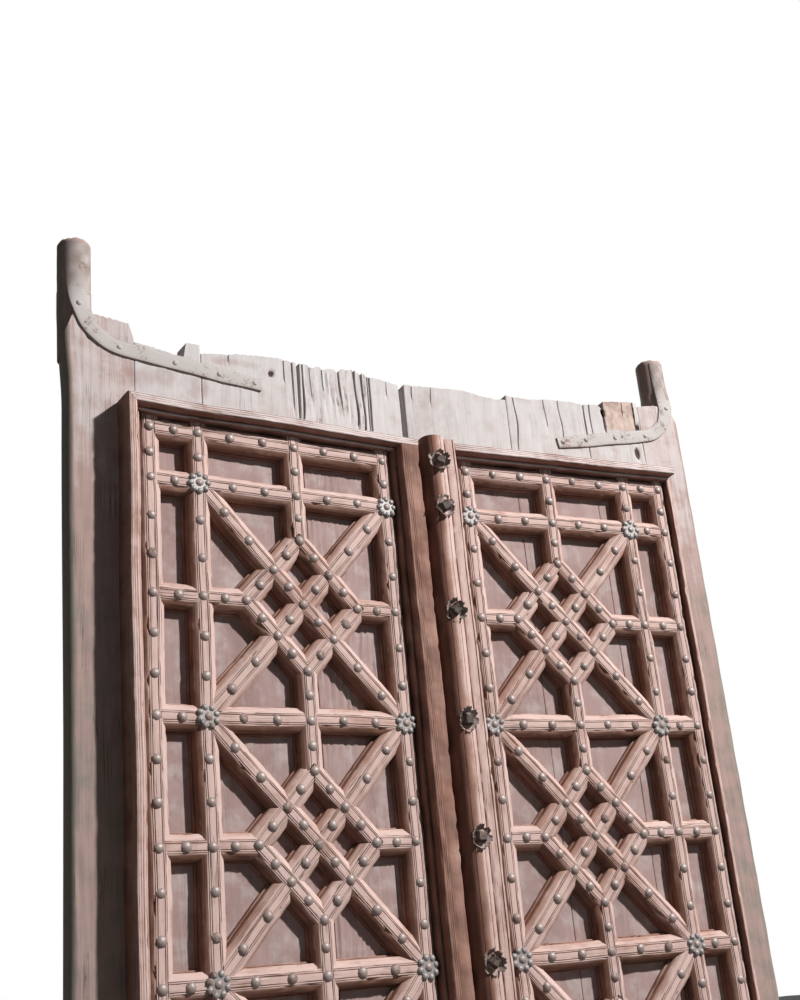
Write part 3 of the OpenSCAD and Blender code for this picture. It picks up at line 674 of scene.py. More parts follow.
# Holes and gashes: share of the board's width, height against the level of the tops, half width, half height
HOLES = {
    "right_board_1": [(0.05, -32, 5, 9), (0.13, -94, 6, 13), (0.66, -6, 5, 9)],
    "left_board_2": [(0.72, -30, 5, 6)],
}
# Flaked brown patches, written as the holes are
FLAKES = {
    "left_board_1": [(0.12, -88, 20, 22), (0.45, -78, 26, 20), (0.9, -92, 12, 20)],
    "left_board_2": [(0.02, -86, 10, 24), (0.2, -24, 26, 9), (0.45, -20, 30, 8), (0.72, -30, 12, 12)],
}
# Boards whose grain stands out, and boards whose first edge has opened towards the top
GRAINY = {"left_board_3": 1.0, "right_board_1": 0.2, "left_board_2": 0.1}
OPENED = {"left_board_3": 6.5, "left_board_4": 2.0, "right_board_2": 2.5}
# The old tenon left in a board's top: from, to, depth below the tops
TENON = {"right_board_1": (88.0, 170.0, 40.0)}


def board_columns(node, xa, xb):
    """Places of a board's columns of vertices with their crack's number and share of its depth."""
    wide = xb - xa
    plain = np.linspace(xa + 4.0, xb - 4.0, max(4, round(wide / 5.0)))
    columns = [(x, -1, 0.0) for x in plain]
    for i, (at, _, half, _) in enumerate(CRACKS[node]):
        mid = xa + at * wide
        columns = [c for c in columns if abs(c[0] - mid) > half + 2.4]
        columns += [(mid - half - 1.1, i, 0.0), (mid - half * 0.35, i, 1.0),
                    (mid + half * 0.35, i, 1.0), (mid + half + 1.1, i, 0.0)]
    columns = sorted(c for c in columns if xa + 2.2 < c[0] < xb - 2.2)
    ends = [(0.0, 1.8), (0.5, 0.5), (1.8, 0.0)]
    low = [(xa + 0.35 + inset, -1, 0.0) for inset, _ in ends]
    high = [(xb - 0.35 - inset, -1, 0.0) for inset, _ in reversed(ends)]
    turned = np.array([t for _, t in ends] + [0.0] * len(columns) + [t for _, t in reversed(ends)])
    return low + columns + high, turned


def near_spots(x, z, wide, spots):
    """1 in the middle of each of a board's spots, and 0 away from them."""
    total = np.zeros(z.shape)
    for at, up, rx, rz in spots:
        total = total + np.exp(-(((x - at * wide) / rx) ** 2 + ((z - up) / rz) ** 2) ** 2)
    return total


def board(leaf, node, xa, xb, seed):
    """A vertical board with a ragged top, cracks that run down from it, and an uneven face."""
    made = bpy.context.scene.door_wear
    key = leaf.seed * 1000 + 5000 + seed
    wide = xb - xa
    columns, turned = board_columns(node, xa, xb)
    xs = np.array([c[0] for c in columns])
    share, height = np.array(TOPS[node], float).T
    grainy = GRAINY.get(node, 0.0)
    top = HEAD_Z + np.interp((xs - xa) / wide, share, height) + (0.7 + 1.2 * grainy) * wave(key, (xs, 9.0))
    bend = TOP_Z - 20.0
    low = np.linspace(0.0, bend, 90, endpoint=False)
    z = risen(np.concatenate([low, np.linspace(bend, HEAD_Z - BOARD_END, 25)]), top)
    depth = np.zeros(z.shape)
    for j, (_, i, part) in enumerate(columns):
        if i >= 0 and part > 0.0:
            _, length, _, deep = CRACKS[node][i]
            ragged = 0.75 + 0.25 * wave(key + 20 + i, (z[j], 50.0))
            depth[j] = deep * ragged * made.crack / MM * smooth(z[j], HEAD_Z - length, HEAD_Z - 0.35 * length)
    inner = smooth(xs, xa + 1.0, xa + 14.0) * smooth(-xs, -xb + 1.0, -xb + 14.0)
    x = xs[:, None] + inner[:, None] * (1.6 + 1.2 * grainy) * wave(key + 3, (z, 170.0))
    gape = OPENED.get(node, 0.0) * np.clip(1.0 - (xs - xa) / 40.0, 0.0, 1.0)
    x = x + gape[:, None] * smooth(z, HEAD_Z - 175.0, HEAD_Z)
    holes, flakes = [near_spots(x - xa, z - HEAD_Z, wide, spots.get(node, [])) for spots in (HOLES, FLAKES)]
    depth = depth + 5.0 * holes
    relief = made.grain / MM * (0.6 * wave(key + 2, (x, 70.0), (z, 180.0))
                                + (0.25 + 1.1 * grainy) * wave(key + 1, (x, 15.0), (z, 300.0)))
    edge = np.broadcast_to(turned[:, None] / 1.8, z.shape)
    tenon = np.zeros(z.shape)
    if node in TENON:
        t0, t1, down = TENON[node]
        tenon = ((x > t0) & (x < t1)).astype(float) * smooth(z, HEAD_Z - down - 3.0, HEAD_Z - down)
    proud = 1.6 * tenon * (1.0 + 0.4 * wave(key + 4, (x, 20.0), (z, 14.0)))
    front = FACE_Y + turned[:, None] + relief + depth - proud
    back = FACE_Y + BOARD_T - turned[:, None] - 0.5 * np.abs(relief)
    rows_x, rows_y, rows_z = both(x, x), both(front, back), both(z, z)
    rows_y[:, 0] = rows_y[:, -1] = FACE_Y + BOARD_T / 2
    points = leaf.world(rows_x, rows_y, rows_z)
    cols = leaf.cols
    inside = (smooth(x, cols[0] - 46.0, cols[0] - 30.0) * smooth(-x, -cols[3] - 60.0, -cols[3] - 30.0)
              * smooth(z, LOW_Z - 46.0, LOW_Z - 30.0) * smooth(-z, -TOP_Z - 46.0, -TOP_Z - 30.0))
    # Painted shade in part: cracks and holes are darkened towards near black on top of their cut depth; the
    # board edges are darkened as joints
    groove = np.clip(depth / (made.crack / MM), 0.0, 1.0) + 0.35 * edge ** 3 + holes
    rng = np.random.default_rng(key)
    off = rng.uniform(0.0, 9000.0, 2)
    around = girth(np.concatenate([xs, xs[::-1]]), np.repeat([0.0, BOARD_T], len(xs)))
    uv = flat(around + off[0], closed(rows_z) + off[1])
    plain = np.zeros(z.shape)
    inside = np.clip(inside + 0.5 * flakes, 0.0, 1.0)
    worn = smooth(z - top[:, None], -14.0, 0.0)
    marks = marks_for(rows_z.shape, bleach=1.0 - both(inside, plain + 0.35), edge=both(worn, plain),
                      groove=both(groove, plain), tenon=both(tenon, plain), grainy=grainy,
                      tint=rng.uniform(0.0, 1.0))
    return wrap(closed(points), uv, marks)


def round_timber(leaf, radii, heights, seed, bleach):
    """A round timber on the pivot axis: radius at each height, closed at its ends."""
    sides = 40
    turn = np.linspace(0.0, 2 * math.pi, sides + 1)
    key = leaf.seed * 1000 + 8000 + seed
    c, s = np.cos(turn)[:, None], np.sin(turn)[:, None]
    r = np.broadcast_to(radii, (sides + 1, len(radii)))
    z = np.broadcast_to(heights, r.shape)
    rough = 0.35 * wave(key, (c * HORN_R, 40.0), (s * HORN_R, 40.0), (z, 80.0))
    r = np.where(r > 0, r - np.abs(rough), 0.0)
    worn = np.where(r < r.max() - 1.0, 1.2 * wave(key + 1, (c * HORN_R, 25.0), (s * HORN_R, 25.0)), 0.0)
    z = z + worn * (z > 1000.0) * (r > 0)
    uv = flat(turn * HORN_R + seed * 77.0, z + seed * 31.0)
    front = smooth(-s + 0.35 * c, -0.1, 0.5) * bleach
    return wrap(leaf.world(r * c, r * s, z), uv, {"bleach": front, "edge": 0.0, "groove": 0.0, "tint": 0.5})


def pivot_stile(leaf):
    """Stile with its rounded outer edge, and the horn and the lower pivot on its axis."""
    key = leaf.seed * 1000 + 9000
    inner, shoulder = leaf.stile_in, leaf.shoulder
    turn = np.radians(np.arange(0.0, 91.0, 15.0))
    m = EDGE_R - EDGE_ROUND
    face = np.linspace(4.0 - m, inner - 4.0, max(8, round((inner + m) / 6.0)))
    ease = np.array([0.0, 0.5, 1.8])
    fx = np.concatenate([[-EDGE_R, -EDGE_R], -m - EDGE_ROUND * np.cos(turn), face, inner - ease[::-1]])
    fy = np.concatenate([[0.0, -m / 2], -m - EDGE_ROUND * np.sin(turn), np.full(len(face), -EDGE_R),
                         ease - EDGE_R])
    top = np.interp(fx, [-EDGE_R - 3.0, -10.0, EDGE_R, inner - 9.0, inner],
                    [shoulder - STILE_END, shoulder, shoulder, shoulder - 6.0, shoulder - leaf.shoulder_drop])
    top = top + 0.8 * wave(key, (fx, 12.0)) * (fx > EDGE_R)
    z = risen(np.linspace(0.0, shoulder - STILE_END, 120), top)
    hewn = leaf.narrowing * (0.7 * smooth(-z, -shoulder, -TOP_Z - 40.0)
                             + 0.3 * smooth(-z, -TOP_Z, 600.0 - TOP_Z))
    x = fx[:, None] + hewn * (1.0 - smooth(fx, -EDGE_R, 25.0))[:, None]
    uneven = 0.5 * wave(key + 1, (x, 22.0), (z, 300.0)) * (np.abs(fy) > EDGE_R - 0.6)[:, None]
    uneven = uneven + 0.5 * wave(key + 2, (x, 60.0), (z, 120.0)) * (np.abs(fy) > 1.0)[:, None]
    front = fy[:, None] + uneven
    back = -fy[:, None] - 0.4 * np.abs(uneven)
    behind = x + 0.75 * leaf.narrowing * (np.abs(fy) / EDGE_R * (1.0 - smooth(fx, -EDGE_R, 10.0)))[:, None]
    rows_x, rows_y, rows_z = both(x, behind), both(front, back), both(z, z)
    rows_y[:, 0] = rows_y[:, -1] = 0.0
    points = leaf.world(rows_x, rows_y, rows_z)
    # Partly painted shade: the rounded outer edge and the back are left darker than the front; the stile also
    # darkens towards the bottom
    lit = np.concatenate([smooth(fx, -28.0, -16.0), 0.6 * smooth(fx[::-1], -28.0, -16.0)])[:, None]
    lit = lit * (0.42 + 0.58 * smooth(rows_z, TOP_Z - 380.0, HEAD_Z))
    seam = np.concatenate([smooth(fx, inner - 2.5, inner), np.zeros(len(fx))])
    around = girth(np.concatenate([fx, fx[::-1]]), np.concatenate([fy, -fy[::-1]]))
    uv = flat(around + leaf.seed, closed(rows_z))
    marks = marks_for(rows_z.shape, bleach=lit, edge=0.0, groove=0.25 * seam[:, None], tint=0.4)
    body = wrap(closed(points), uv, marks)
    collar, tip = leaf.strap_at + 16.0, leaf.horn_top
    heights = [shoulder - 85.0, shoulder - 85.0, shoulder - 20.0, shoulder + 6.0, collar, collar + 1.0]
    radii = [0.0, EDGE_R - 2.0, EDGE_R - 1.5, EDGE_R - 0.6, EDGE_R - 0.5, HORN_R]
    heights += list(np.linspace(collar + 12.0, tip - 9.0, 9)) + [tip - 6.2, tip - 3.4, tip - 2.1, tip - 1.8]
    radii += [HORN_R] * 9 + [HORN_R - 0.8, HORN_R - 2.6, HORN_R - 6.0, 0.0]
    horn = round_timber(leaf, radii, heights, 1, 0.5)
    pin = round_timber(leaf, [0.0, 20.5, 22.0, 22.0, 0.0], [-44.0, -44.0, -42.0, 4.0, 4.0], 2, 0.0)
    return [body, horn, pin]


# Iron


def strap_bend(leaf, t):
    """Place on the centre line of a strap's bend at an angle, and the outward direction there."""
    radius = STRAP_BEND + STRAP_W / 2
    way = np.array([-math.cos(t), -math.sin(t)])
    return np.array([STRAP_X + radius, leaf.strap_at]) + radius * way, way


def strap_arm(leaf):
    """End of a strap's bend, the direction of the straight arm after it, and the arm's length."""
    last, _ = strap_bend(leaf, math.pi / 2 - leaf.strap_slope)
    d = np.array([math.cos(leaf.strap_slope), -math.sin(leaf.strap_slope)])
    return last, d, (leaf.strap_len - last[0]) / d[0]


def strap_spots(leaf):
    """Centre line of a strap from the horn's top to its end, with the outward direction at each spot."""
    heights = np.linspace(leaf.horn_top - 12.0, leaf.strap_at, 16, endpoint=False)
    spots = [((STRAP_X, z), (-1.0, 0.0)) for z in heights]
    spots += [strap_bend(leaf, t) for t in np.linspace(0.0, math.pi / 2 - leaf.strap_slope, 20)]
    last, d, far = strap_arm(leaf)
    spots += [(last + d * far * k, spots[-1][1]) for k in np.linspace(0.0, 1.0, 15)[1:]]
    return np.array([s[0] for s in spots], float), np.array([s[1] for s in spots], float)


def strap(leaf):
    """Flat forged iron up the front of the horn, round its bend and along the boards."""
    key = leaf.seed * 1000 + 12000
    c, n = strap_spots(leaf)
    v = np.array([-14.0, -13.6, -12.4, -7.0, 0.0, 7.0, 12.4, 13.6, 14.0])
    d = np.array([2.6, 3.5, 4.0, 4.15, 4.2, 4.15, 4.0, 3.5, 2.6])
    across = np.concatenate([v, v[::-1]])
    off = np.concatenate([d, np.zeros(len(v))])
    count = len(c)
    s = np.arange(count)
    narrow = 1.0 - 0.12 * smooth(s, count - 5, count - 1)
    rise = c[:, 1] - leaf.strap_at
    inner_side = 1.0 + 0.6 * np.exp(-((rise + 4.0) / 42.0) ** 2) * (across < 0)[:, None]
    w = across[:, None] * narrow * inner_side
    w = w + 0.5 * wave(key, (s * 12.0, 90.0), (np.sign(across)[:, None] * 9, 30.0))
    x = c[:, 0] + n[:, 0] * w
    z = c[:, 1] + n[:, 1] * w
    plate = FACE_Y - off[:, None] - 0.4 * wave(key + 1, (x, 90.0), (z, 90.0)) * (off[:, None] > 0)
    r = HORN_R - 3.0 + 1.1 * off[:, None]
    turn = -across[:, None] / (STRAP_W / 2) * leaf.strap_wrap * np.ones_like(z)
    on_horn = smooth(z, leaf.strap_at - 40.0, leaf.strap_at + 62.0)
    x = x * (1 - on_horn) + r * np.sin(turn) * on_horn
    y = plate * (1 - on_horn) - r * np.cos(turn) * on_horn
    back = np.concatenate([np.arange(len(v)), np.arange(len(v))[::-1]])
    middle = (y[back] + y[len(across) - 1 - back]) / 2
    x, z = capped(x), capped(z)
    y = np.concatenate([middle[:, :1], y, middle[:, -1:]], 1)
    points = leaf.world(x, y, z)
    along = np.concatenate([[0.0], np.cumsum(np.linalg.norm(np.diff(c, axis=0), axis=1))])
    along = np.concatenate([along[:1], along, along[-1:]])
    uv = flat(girth(across, off), along)
    worn = np.concatenate([np.abs(v) > 13.0, np.zeros(len(v))]).astype(float)[:, None]
    # Painted shade and rust: on the horn the strap darkens towards rust, most on the side that turns away
    # from the light
    on_horn = smooth(z, leaf.strap_at - 10.0, leaf.strap_at + 50.0)
    dull = 0.7 + 0.4 * wave(key + 4, (x, 30.0), (z, 60.0))
    rust_and_painted_shade = np.maximum(smooth(across, 5.0, 13.0)[:, None], np.clip(dull, 0.0, 0.95))
    worn = np.maximum(worn, rust_and_painted_shade * on_horn)
    front = np.repeat([1.0, 0.0], len(v))[:, None]
    return wrap(closed(points), uv, marks_for(x.shape, bleach=front, edge=worn, groove=0.0, tint=0.5))


def strap_nail_spots(leaf):
    last, d, far = strap_arm(leaf)
    spots = [strap_bend(leaf, t)[0] for t in np.radians([11.0, 78.0])]
    return spots + [last + k * far * d for k in (0.35, 0.68, 0.95)]


def dome(name, r, h, segments=12, rings=8, skirt=0.8):
    """A hammered nail head, its foot at z = 0, in millimetres."""
    deselect()
    bpy.ops.mesh.primitive_uv_sphere_add(segments=segments, ring_count=rings, radius=1.0)
    head = bpy.context.object
    head.name = name
    edit()
    bpy.ops.mesh.bisect(plane_co=(0, 0, 0), plane_no=(0, 0, 1), clear_inner=True)
    bpy.ops.mesh.select_all(action="SELECT")
    bpy.ops.transform.resize(value=(r, r, h - skirt))
    bpy.ops.transform.translate(value=(0, 0, skirt))
    bpy.ops.mesh.select_all(action="DESELECT")
    bpy.ops.mesh.select_non_manifold()
    bpy.ops.mesh.extrude_region_move(TRANSFORM_OT_translate={"value": (0, 0, -skirt - 1.0)})
    bpy.ops.mesh.edge_face_add()
    bpy.ops.mesh.select_all(action="SELECT")
    bpy.ops.mesh.normals_make_consistent(inside=False)
    bpy.ops.object.mode_set(mode="OBJECT")
    return head


def set_on_face(leaf, model, spots, seed, off, tilt=5.0, vary=0.06):
    """Copies of a small model standing on the face at the given spots, each a little different."""
    rng = np.random.default_rng(leaf.seed * 1000 + seed)
    base = np.zeros(len(model.data.vertices) * 3)
    model.data.vertices.foreach_get("co", base)
    base = base.reshape(-1, 3)
    pieces = []
    for x, z in spots:
        spin = rng.uniform(0, 2 * math.pi)
        lean = math.radians(rng.normal(0.0, tilt * 0.5))
        way = rng.uniform(0, 2 * math.pi)
        grow = 1.0 + rng.uniform(-vary, vary, 3)
        shift = rng.uniform(-0.9, 0.9, 2)
        axis = Vector((math.cos(way), math.sin(way), 0.0))
        turn = Matrix.Rotation(lean, 3, axis) @ Matrix.Rotation(spin, 3, "Z")
        dents = 1.0 + 0.035 * wave(leaf.seed + seed + len(pieces), *((base[:, i], 7.0) for i in range(3)))
        lx, lz, ly = ((base * grow) @ np.array(turn).T * dents[:, None]).T
        points = leaf.world(x + shift[0] + lx, FACE_Y - off - ly, z + shift[1] + lz)
        piece = model.copy()
        piece.data = model.data.copy()
        bpy.context.collection.objects.link(piece)
        piece.data.vertices.foreach_set("co", points.astype(np.float32).ravel())
        set_mark(piece.data, "tint", np.full(len(base), rng.uniform(0.0, 1.0)))
        if leaf.mirror < 0:
            piece.data.flip_normals()
        pieces.append(piece)
    return join(pieces)


def between(a, b, n):
    return [a + (b - a) * i / (n + 1) for i in range(1, n + 1)]


def stud_spots(leaf):
    """Studs along the uprights, the rails and the slanting bars."""
    x, spots = leaf.cols, []
    for c in (0, 1, 3):
        for i in range(LAST + 1):
            if c == 0 or i in (0, LAST) or is_mid(i):
                spots.append((x[c], ROWS[i]))
            if i < LAST:
                spots += [(x[c], z) for z in between(ROWS[i], ROWS[i + 1], 1 if i in (0, LAST - 1) else 2)]
    for i in range(LAST + 1):
        if not is_mid(i):
            spots.append((x[2], ROWS[i]))
            on_rail = between(x[0], x[1], 1) + between(x[1], x[2], 2) + between(x[2], x[3], 2)
            spots += [(p, ROWS[i]) for p in on_rail]
    spots += [(x[2], (ROWS[0] + ROWS[1]) / 2), (x[2], (ROWS[LAST - 1] + ROWS[LAST]) / 2)]
    for k in range(SQUARES):
        mx, mz = x[2], mid_z(k)
        spots += [(mx, mz), ((x[0] + x[1]) / 2, mz)]
        for s in (-1, 1):
            spots += [(mx + s * DIAMOND_X, mz), (mx, mz + s * DIAMOND_Z)]
            spots += [(mx + s * (DIAMOND_X + COL_PITCH) / 2, mz), (mx, mz + s * (DIAMOND_Z + ROW_PITCH) / 2)]
            for v in (-1, 1):
                cx, cz = s * DIAMOND_X / 2, v * DIAMOND_Z / 2
                spots += [(mx + cx, mz + cz), (mx + cx / 2, mz + cz / 2)]
                for t in (1 / 3, 2 / 3):
                    spots.append((mx + cx + (s * COL_PITCH - cx) * t, mz + cz + (v * ROW_PITCH - cz) * t))
                spots += [(mx + s * DIAMOND_X / 4, mz + v * DIAMOND_Z * 0.75),
                          (mx + s * DIAMOND_X * 0.75, mz + v * DIAMOND_Z / 4)]
    return spots


def mark_core(piece):
    set_mark(piece.data, "core", np.ones(len(piece.data.vertices)))


def rosette_model():
    """Eight round petals around a dome on a thin disc."""
    parts = [dome("rosette_dome", 9.2, 10.0, 20, 12)]
    mark_core(parts[0])
    deselect()
    bpy.ops.mesh.primitive_cylinder_add(vertices=32, radius=15.8, depth=3.4, location=(0, 0, 0.7))
    bpy.ops.object.transform_apply(location=True)
    parts.append(bpy.context.object)
    for i in range(8):
        t = 2 * math.pi * (i + 0.5) / 8
        deselect()
        bpy.ops.mesh.primitive_uv_sphere_add(segments=14, ring_count=10, radius=1.0)
        petal = bpy.context.object
        petal.scale = (6.0, 5.7, 4.6)
        petal.rotation_euler = (0, 0, t)
        petal.location = (15.6 * math.cos(t), 15.6 * math.sin(t), 0.6)
        bpy.ops.object.transform_apply(location=True, rotation=True, scale=True)
        parts.append(petal)
    return join(parts)


def boss_model():
    """Rough lump of a head in a washer whose torn petals stand up around it."""
    rng = np.random.default_rng(77)
    deselect()
    bpy.ops.mesh.primitive_cube_add(size=2.0)
    head = bpy.context.object
    edit()
    bpy.ops.transform.resize(value=(10.0, 10.5, 6.5))
    bpy.ops.transform.translate(value=(0, 0, 3.0))
    bpy.ops.mesh.bevel(offset=2.6, segments=2, affect="EDGES")
    bpy.ops.mesh.subdivide(number_cuts=1)
    bpy.ops.object.mode_set(mode="OBJECT")
    for v in head.data.vertices:
        taper = 1.0 - 0.25 * max(0.0, v.co.z) / 10.0
        v.co = Vector((v.co.x * taper, v.co.y * taper, v.co.z)) + Vector(rng.uniform(-1.1, 1.1, 3))
    mark_core(head)
    parts = [head]
    for i in range(8):
        t0 = 2 * math.pi * (i + rng.uniform(-0.15, 0.15)) / 8
        long, curl, half = rng.uniform(0.7, 1.1), rng.uniform(0.1, 0.85), rng.uniform(8.0, 11.0)
        deselect()
        bpy.ops.mesh.primitive_grid_add(x_subdivisions=8, y_subdivisions=4, size=1.0)
        petal = bpy.context.object
        for v in petal.data.vertices:
            s, w = v.co.x + 0.5, v.co.y * 2.0
            reach = 9.0 + 14.0 * long * s * (1.0 - 0.25 * curl * s)
            side = w * half * (1.0 - 0.6 * s ** 1.6)
            lift = -5.5 + 3.0 * s + 13.5 * curl * s ** 1.7 + 1.6 * w * w * s + rng.uniform(-0.5, 0.5)
            x, y = reach * math.cos(t0) - side * math.sin(t0), reach * math.sin(t0) + side * math.cos(t0)
            v.co = (x, y, lift + 1.0)
        select(petal)
        thick = petal.modifiers.new("Thickness", "SOLIDIFY")
        thick.thickness = 1.4
        thick.offset = -1.0
        bpy.ops.object.modifier_apply(modifier=thick.name)
        parts.append(petal)
    deselect()
    bpy.ops.mesh.primitive_cone_add(vertices=24, radius1=17.5, radius2=11.0, depth=9.0, location=(0, 0, -4.0))
    bpy.ops.object.transform_apply(location=True)
    parts.append(bpy.context.object)
    return join(parts)


# Finishes


def group(name, inputs, outputs):
    """An empty shader group with named sockets, and its two ends."""
    made = bpy.data.node_groups.new(name, "ShaderNodeTree")
    for label, kind, default in inputs:
        socket = made.interface.new_socket(name=label, in_out="INPUT", socket_type=kind)
        if default is not None:
            socket.default_value = default
    for label, kind in outputs:
        made.interface.new_socket(name=label, in_out="OUTPUT", socket_type=kind)
    return made, made.nodes.new("NodeGroupInput"), made.nodes.new("NodeGroupOutput")


class Tree:
    """Short words for building a node tree."""

    def __init__(self, tree):
        self.tree = tree

    def node(self, kind, **values):
        made = self.tree.nodes.new(kind)
        for key, value in values.items():
            setattr(made, key, value)
        return made

    def link(self, source, target):
        self.tree.links.new(source, target)

    def put(self, value, socket):
        if isinstance(value, bpy.types.NodeSocket):
            self.link(value, socket)
        else:
            socket.default_value = value

    def math(self, operation, a, b=0.0, clamp=False):
        made = self.node("ShaderNodeMath", operation=operation, use_clamp=clamp)
        self.put(a, made.inputs[0])
        self.put(b, made.inputs[1])
        return made.outputs[0]

    def mix(self, factor, a, b, blend="MIX"):
        made = self.node("ShaderNodeMix", data_type="RGBA", blend_type=blend, clamp_factor=True)
        self.put(factor, made.inputs["Factor"])
        self.put(a, made.inputs[6])
        self.put(b, made.inputs[7])
        return made.outputs[2]

    def remap(self, value, low, high, to_low=0.0, to_high=1.0):
        made = self.node("ShaderNodeMapRange", interpolation_type="SMOOTHSTEP")
        self.put(value, made.inputs["Value"])
        for key, number in (("From Min", low), ("From Max", high), ("To Min", to_low), ("To Max", to_high)):
            made.inputs[key].default_value = number
        return made.outputs["Result"]

    def noise(self, vector, scale, detail=4.0, rough=0.55, stretch=None, distortion=0.0):
        if stretch is not None:
            mapping = self.node("ShaderNodeMapping")
            mapping.inputs["Scale"].default_value = stretch
            self.link(vector, mapping.inputs["Vector"])
            vector = mapping.outputs["Vector"]
        made = self.node("ShaderNodeTexNoise")
        self.link(vector, made.inputs["Vector"])
        for key, number in (("Scale", scale), ("Detail", detail), ("Roughness", rough),
                            ("Distortion", distortion)):
            made.inputs[key].default_value = number
        return made.outputs["Fac"]

    def mark(self, name):
        return self.node("ShaderNodeAttribute", attribute_name=name).outputs["Fac"]


def grain_group():
    """Wood grain along the vector's second axis, in metres: broad streaks, fine fibres, drying cracks."""
    made, ends_in, ends_out = group(
        "Timber grain", [("Vector", "NodeSocketVector", None), ("Cracks", "NodeSocketFloat", 0.5)],
        [(key, "NodeSocketFloat") for key in ("Streak", "Fibre", "Crack", "Height")])
    t = Tree(made)
    vector = ends_in.outputs["Vector"]
    streak = t.noise(vector, 1.0, 5.0, 0.6, (170.0, 4.5, 1.0), 0.4)
    fibre = t.noise(vector, 1.0, 3.0, 0.6, (900.0, 16.0, 1.0))
    lines = t.noise(vector, 1.0, 2.0, 0.5, (130.0, 3.0, 1.0), 0.8)
    where = t.noise(vector, 1.0, 2.0, 0.5, (14.0, 5.0, 1.0))
    near = t.math("ABSOLUTE", t.math("SUBTRACT", lines, 0.5))
    crack = t.math("SUBTRACT", 1.0, t.remap(near, 0.006, 0.022))
    crack = t.math("MULTIPLY", crack, t.remap(where, 0.5, 0.64))
    crack = t.math("MULTIPLY", crack, ends_in.outputs["Cracks"], clamp=True)
    height = t.math("ADD", t.math("MULTIPLY", streak, 0.6), t.math("MULTIPLY", fibre, 0.35))
    height = t.math("SUBTRACT", height, t.math("MULTIPLY", crack, 0.9))
    for value, key in ((streak, "Streak"), (fibre, "Fibre"), (crack, "Crack"), (height, "Height")):
        t.link(value, ends_out.inputs[key])
    return made


def weather_group():
    """Blotches and specks of dust and stain, from a place in metres."""
    made, ends_in, ends_out = group("Weather", [("Vector", "NodeSocketVector", None)],
                                    [(key, "NodeSocketFloat") for key in ("Blotch", "Patch", "Speck")])
    t = Tree(made)
    vector = ends_in.outputs["Vector"]
    for key, *noise in (("Blotch", 9.0, 4.0, 0.6), ("Patch", 26.0, 5.0, 0.62), ("Speck", 210.0, 3.0, 0.6)):
        t.link(t.noise(vector, *noise), ends_out.inputs[key])
    return made


def place(t, made, source="Object"):
    node = t.node("ShaderNodeGroup", node_tree=made)
    t.link(t.node("ShaderNodeTexCoord").outputs[source], node.inputs["Vector"])
    return node


def new_material(name, roughness, specular=0.25):
    made = bpy.data.materials.new(name)
    made.use_nodes = True
    t = Tree(made.node_tree)
    shader = made.node_tree.nodes["Principled BSDF"]
    shader.inputs["Specular IOR Level"].default_value = specular
    shader.inputs["Roughness"].default_value = roughness
    return made, t, shader


def rgba(value):
    return (*value, 1.0)


def bump(t, shader, height, strength, distance):
    made = t.node("ShaderNodeBump")
    made.inputs["Strength"].default_value = strength
    made.inputs["Distance"].default_value = distance
    t.link(height, made.inputs["Height"])
    t.link(made.outputs["Normal"], shader.inputs["Normal"])


def timber_material(name, groups, pale, middle, deep, cracks=0.6, streaky=0.5, relief=0.0008):
    """Pale where bleached or painted lit, brown in shelter or painted shade, with grain, cracks, worn edges
    and dark grooves.
    """
    made, t, shader = new_material(name, 0.8, 0.08)
    grain = place(t, groups["grain"], "UV")
    grain.inputs["Cracks"].default_value = cracks
    weather = place(t, groups["weather"])
    streak = grain.outputs["Streak"]
    swing = 0.0
    for value, part in ((streak, streaky * 1.6), (grain.outputs["Fibre"], streaky * 1.3),
                        (weather.outputs["Blotch"], 0.8), (weather.outputs["Patch"], 0.8),
                        (t.mark("tint"), 0.16)):
        swing = t.math("ADD", t.math("MULTIPLY", t.math("SUBTRACT", value, 0.5), part), swing)
    base = t.math("ADD", t.math("MULTIPLY", t.mark("bleach"), 0.86), t.math("MULTIPLY", t.mark("edge"), 0.12))
    worn = t.math("ADD", base, swing, clamp=True)
    shade = t.mix(t.remap(worn, 0.05, 0.5), rgba(deep), rgba(middle))
    shade = t.mix(t.remap(worn, 0.5, 0.95), shade, rgba(pale))
    # The mark of grime and painted shade darkens the colour towards DARK, more in some patches than in others
    caught = t.remap(weather.outputs["Patch"], 0.25, 0.65, 0.95, 0.5)
    dirt_and_painted_shade = t.math("MULTIPLY", t.mark("groove"), caught, clamp=True)
    shade = t.mix(dirt_and_painted_shade, shade, rgba(DARK))
    shade = t.mix(t.math("MULTIPLY", grain.outputs["Crack"], 0.9), shade, rgba(DARK))
    shade = t.mix(t.remap(weather.outputs["Speck"], 0.66, 0.76, 0.0, 0.3), shade, rgba(deep))
    t.link(shade, shader.inputs["Base Color"])
    t.link(t.remap(streak, 0.2, 0.8, 0.92, 0.7), shader.inputs["Roughness"])
    bump(t, shader, grain.outputs["Height"], 0.8, relief)
    return made


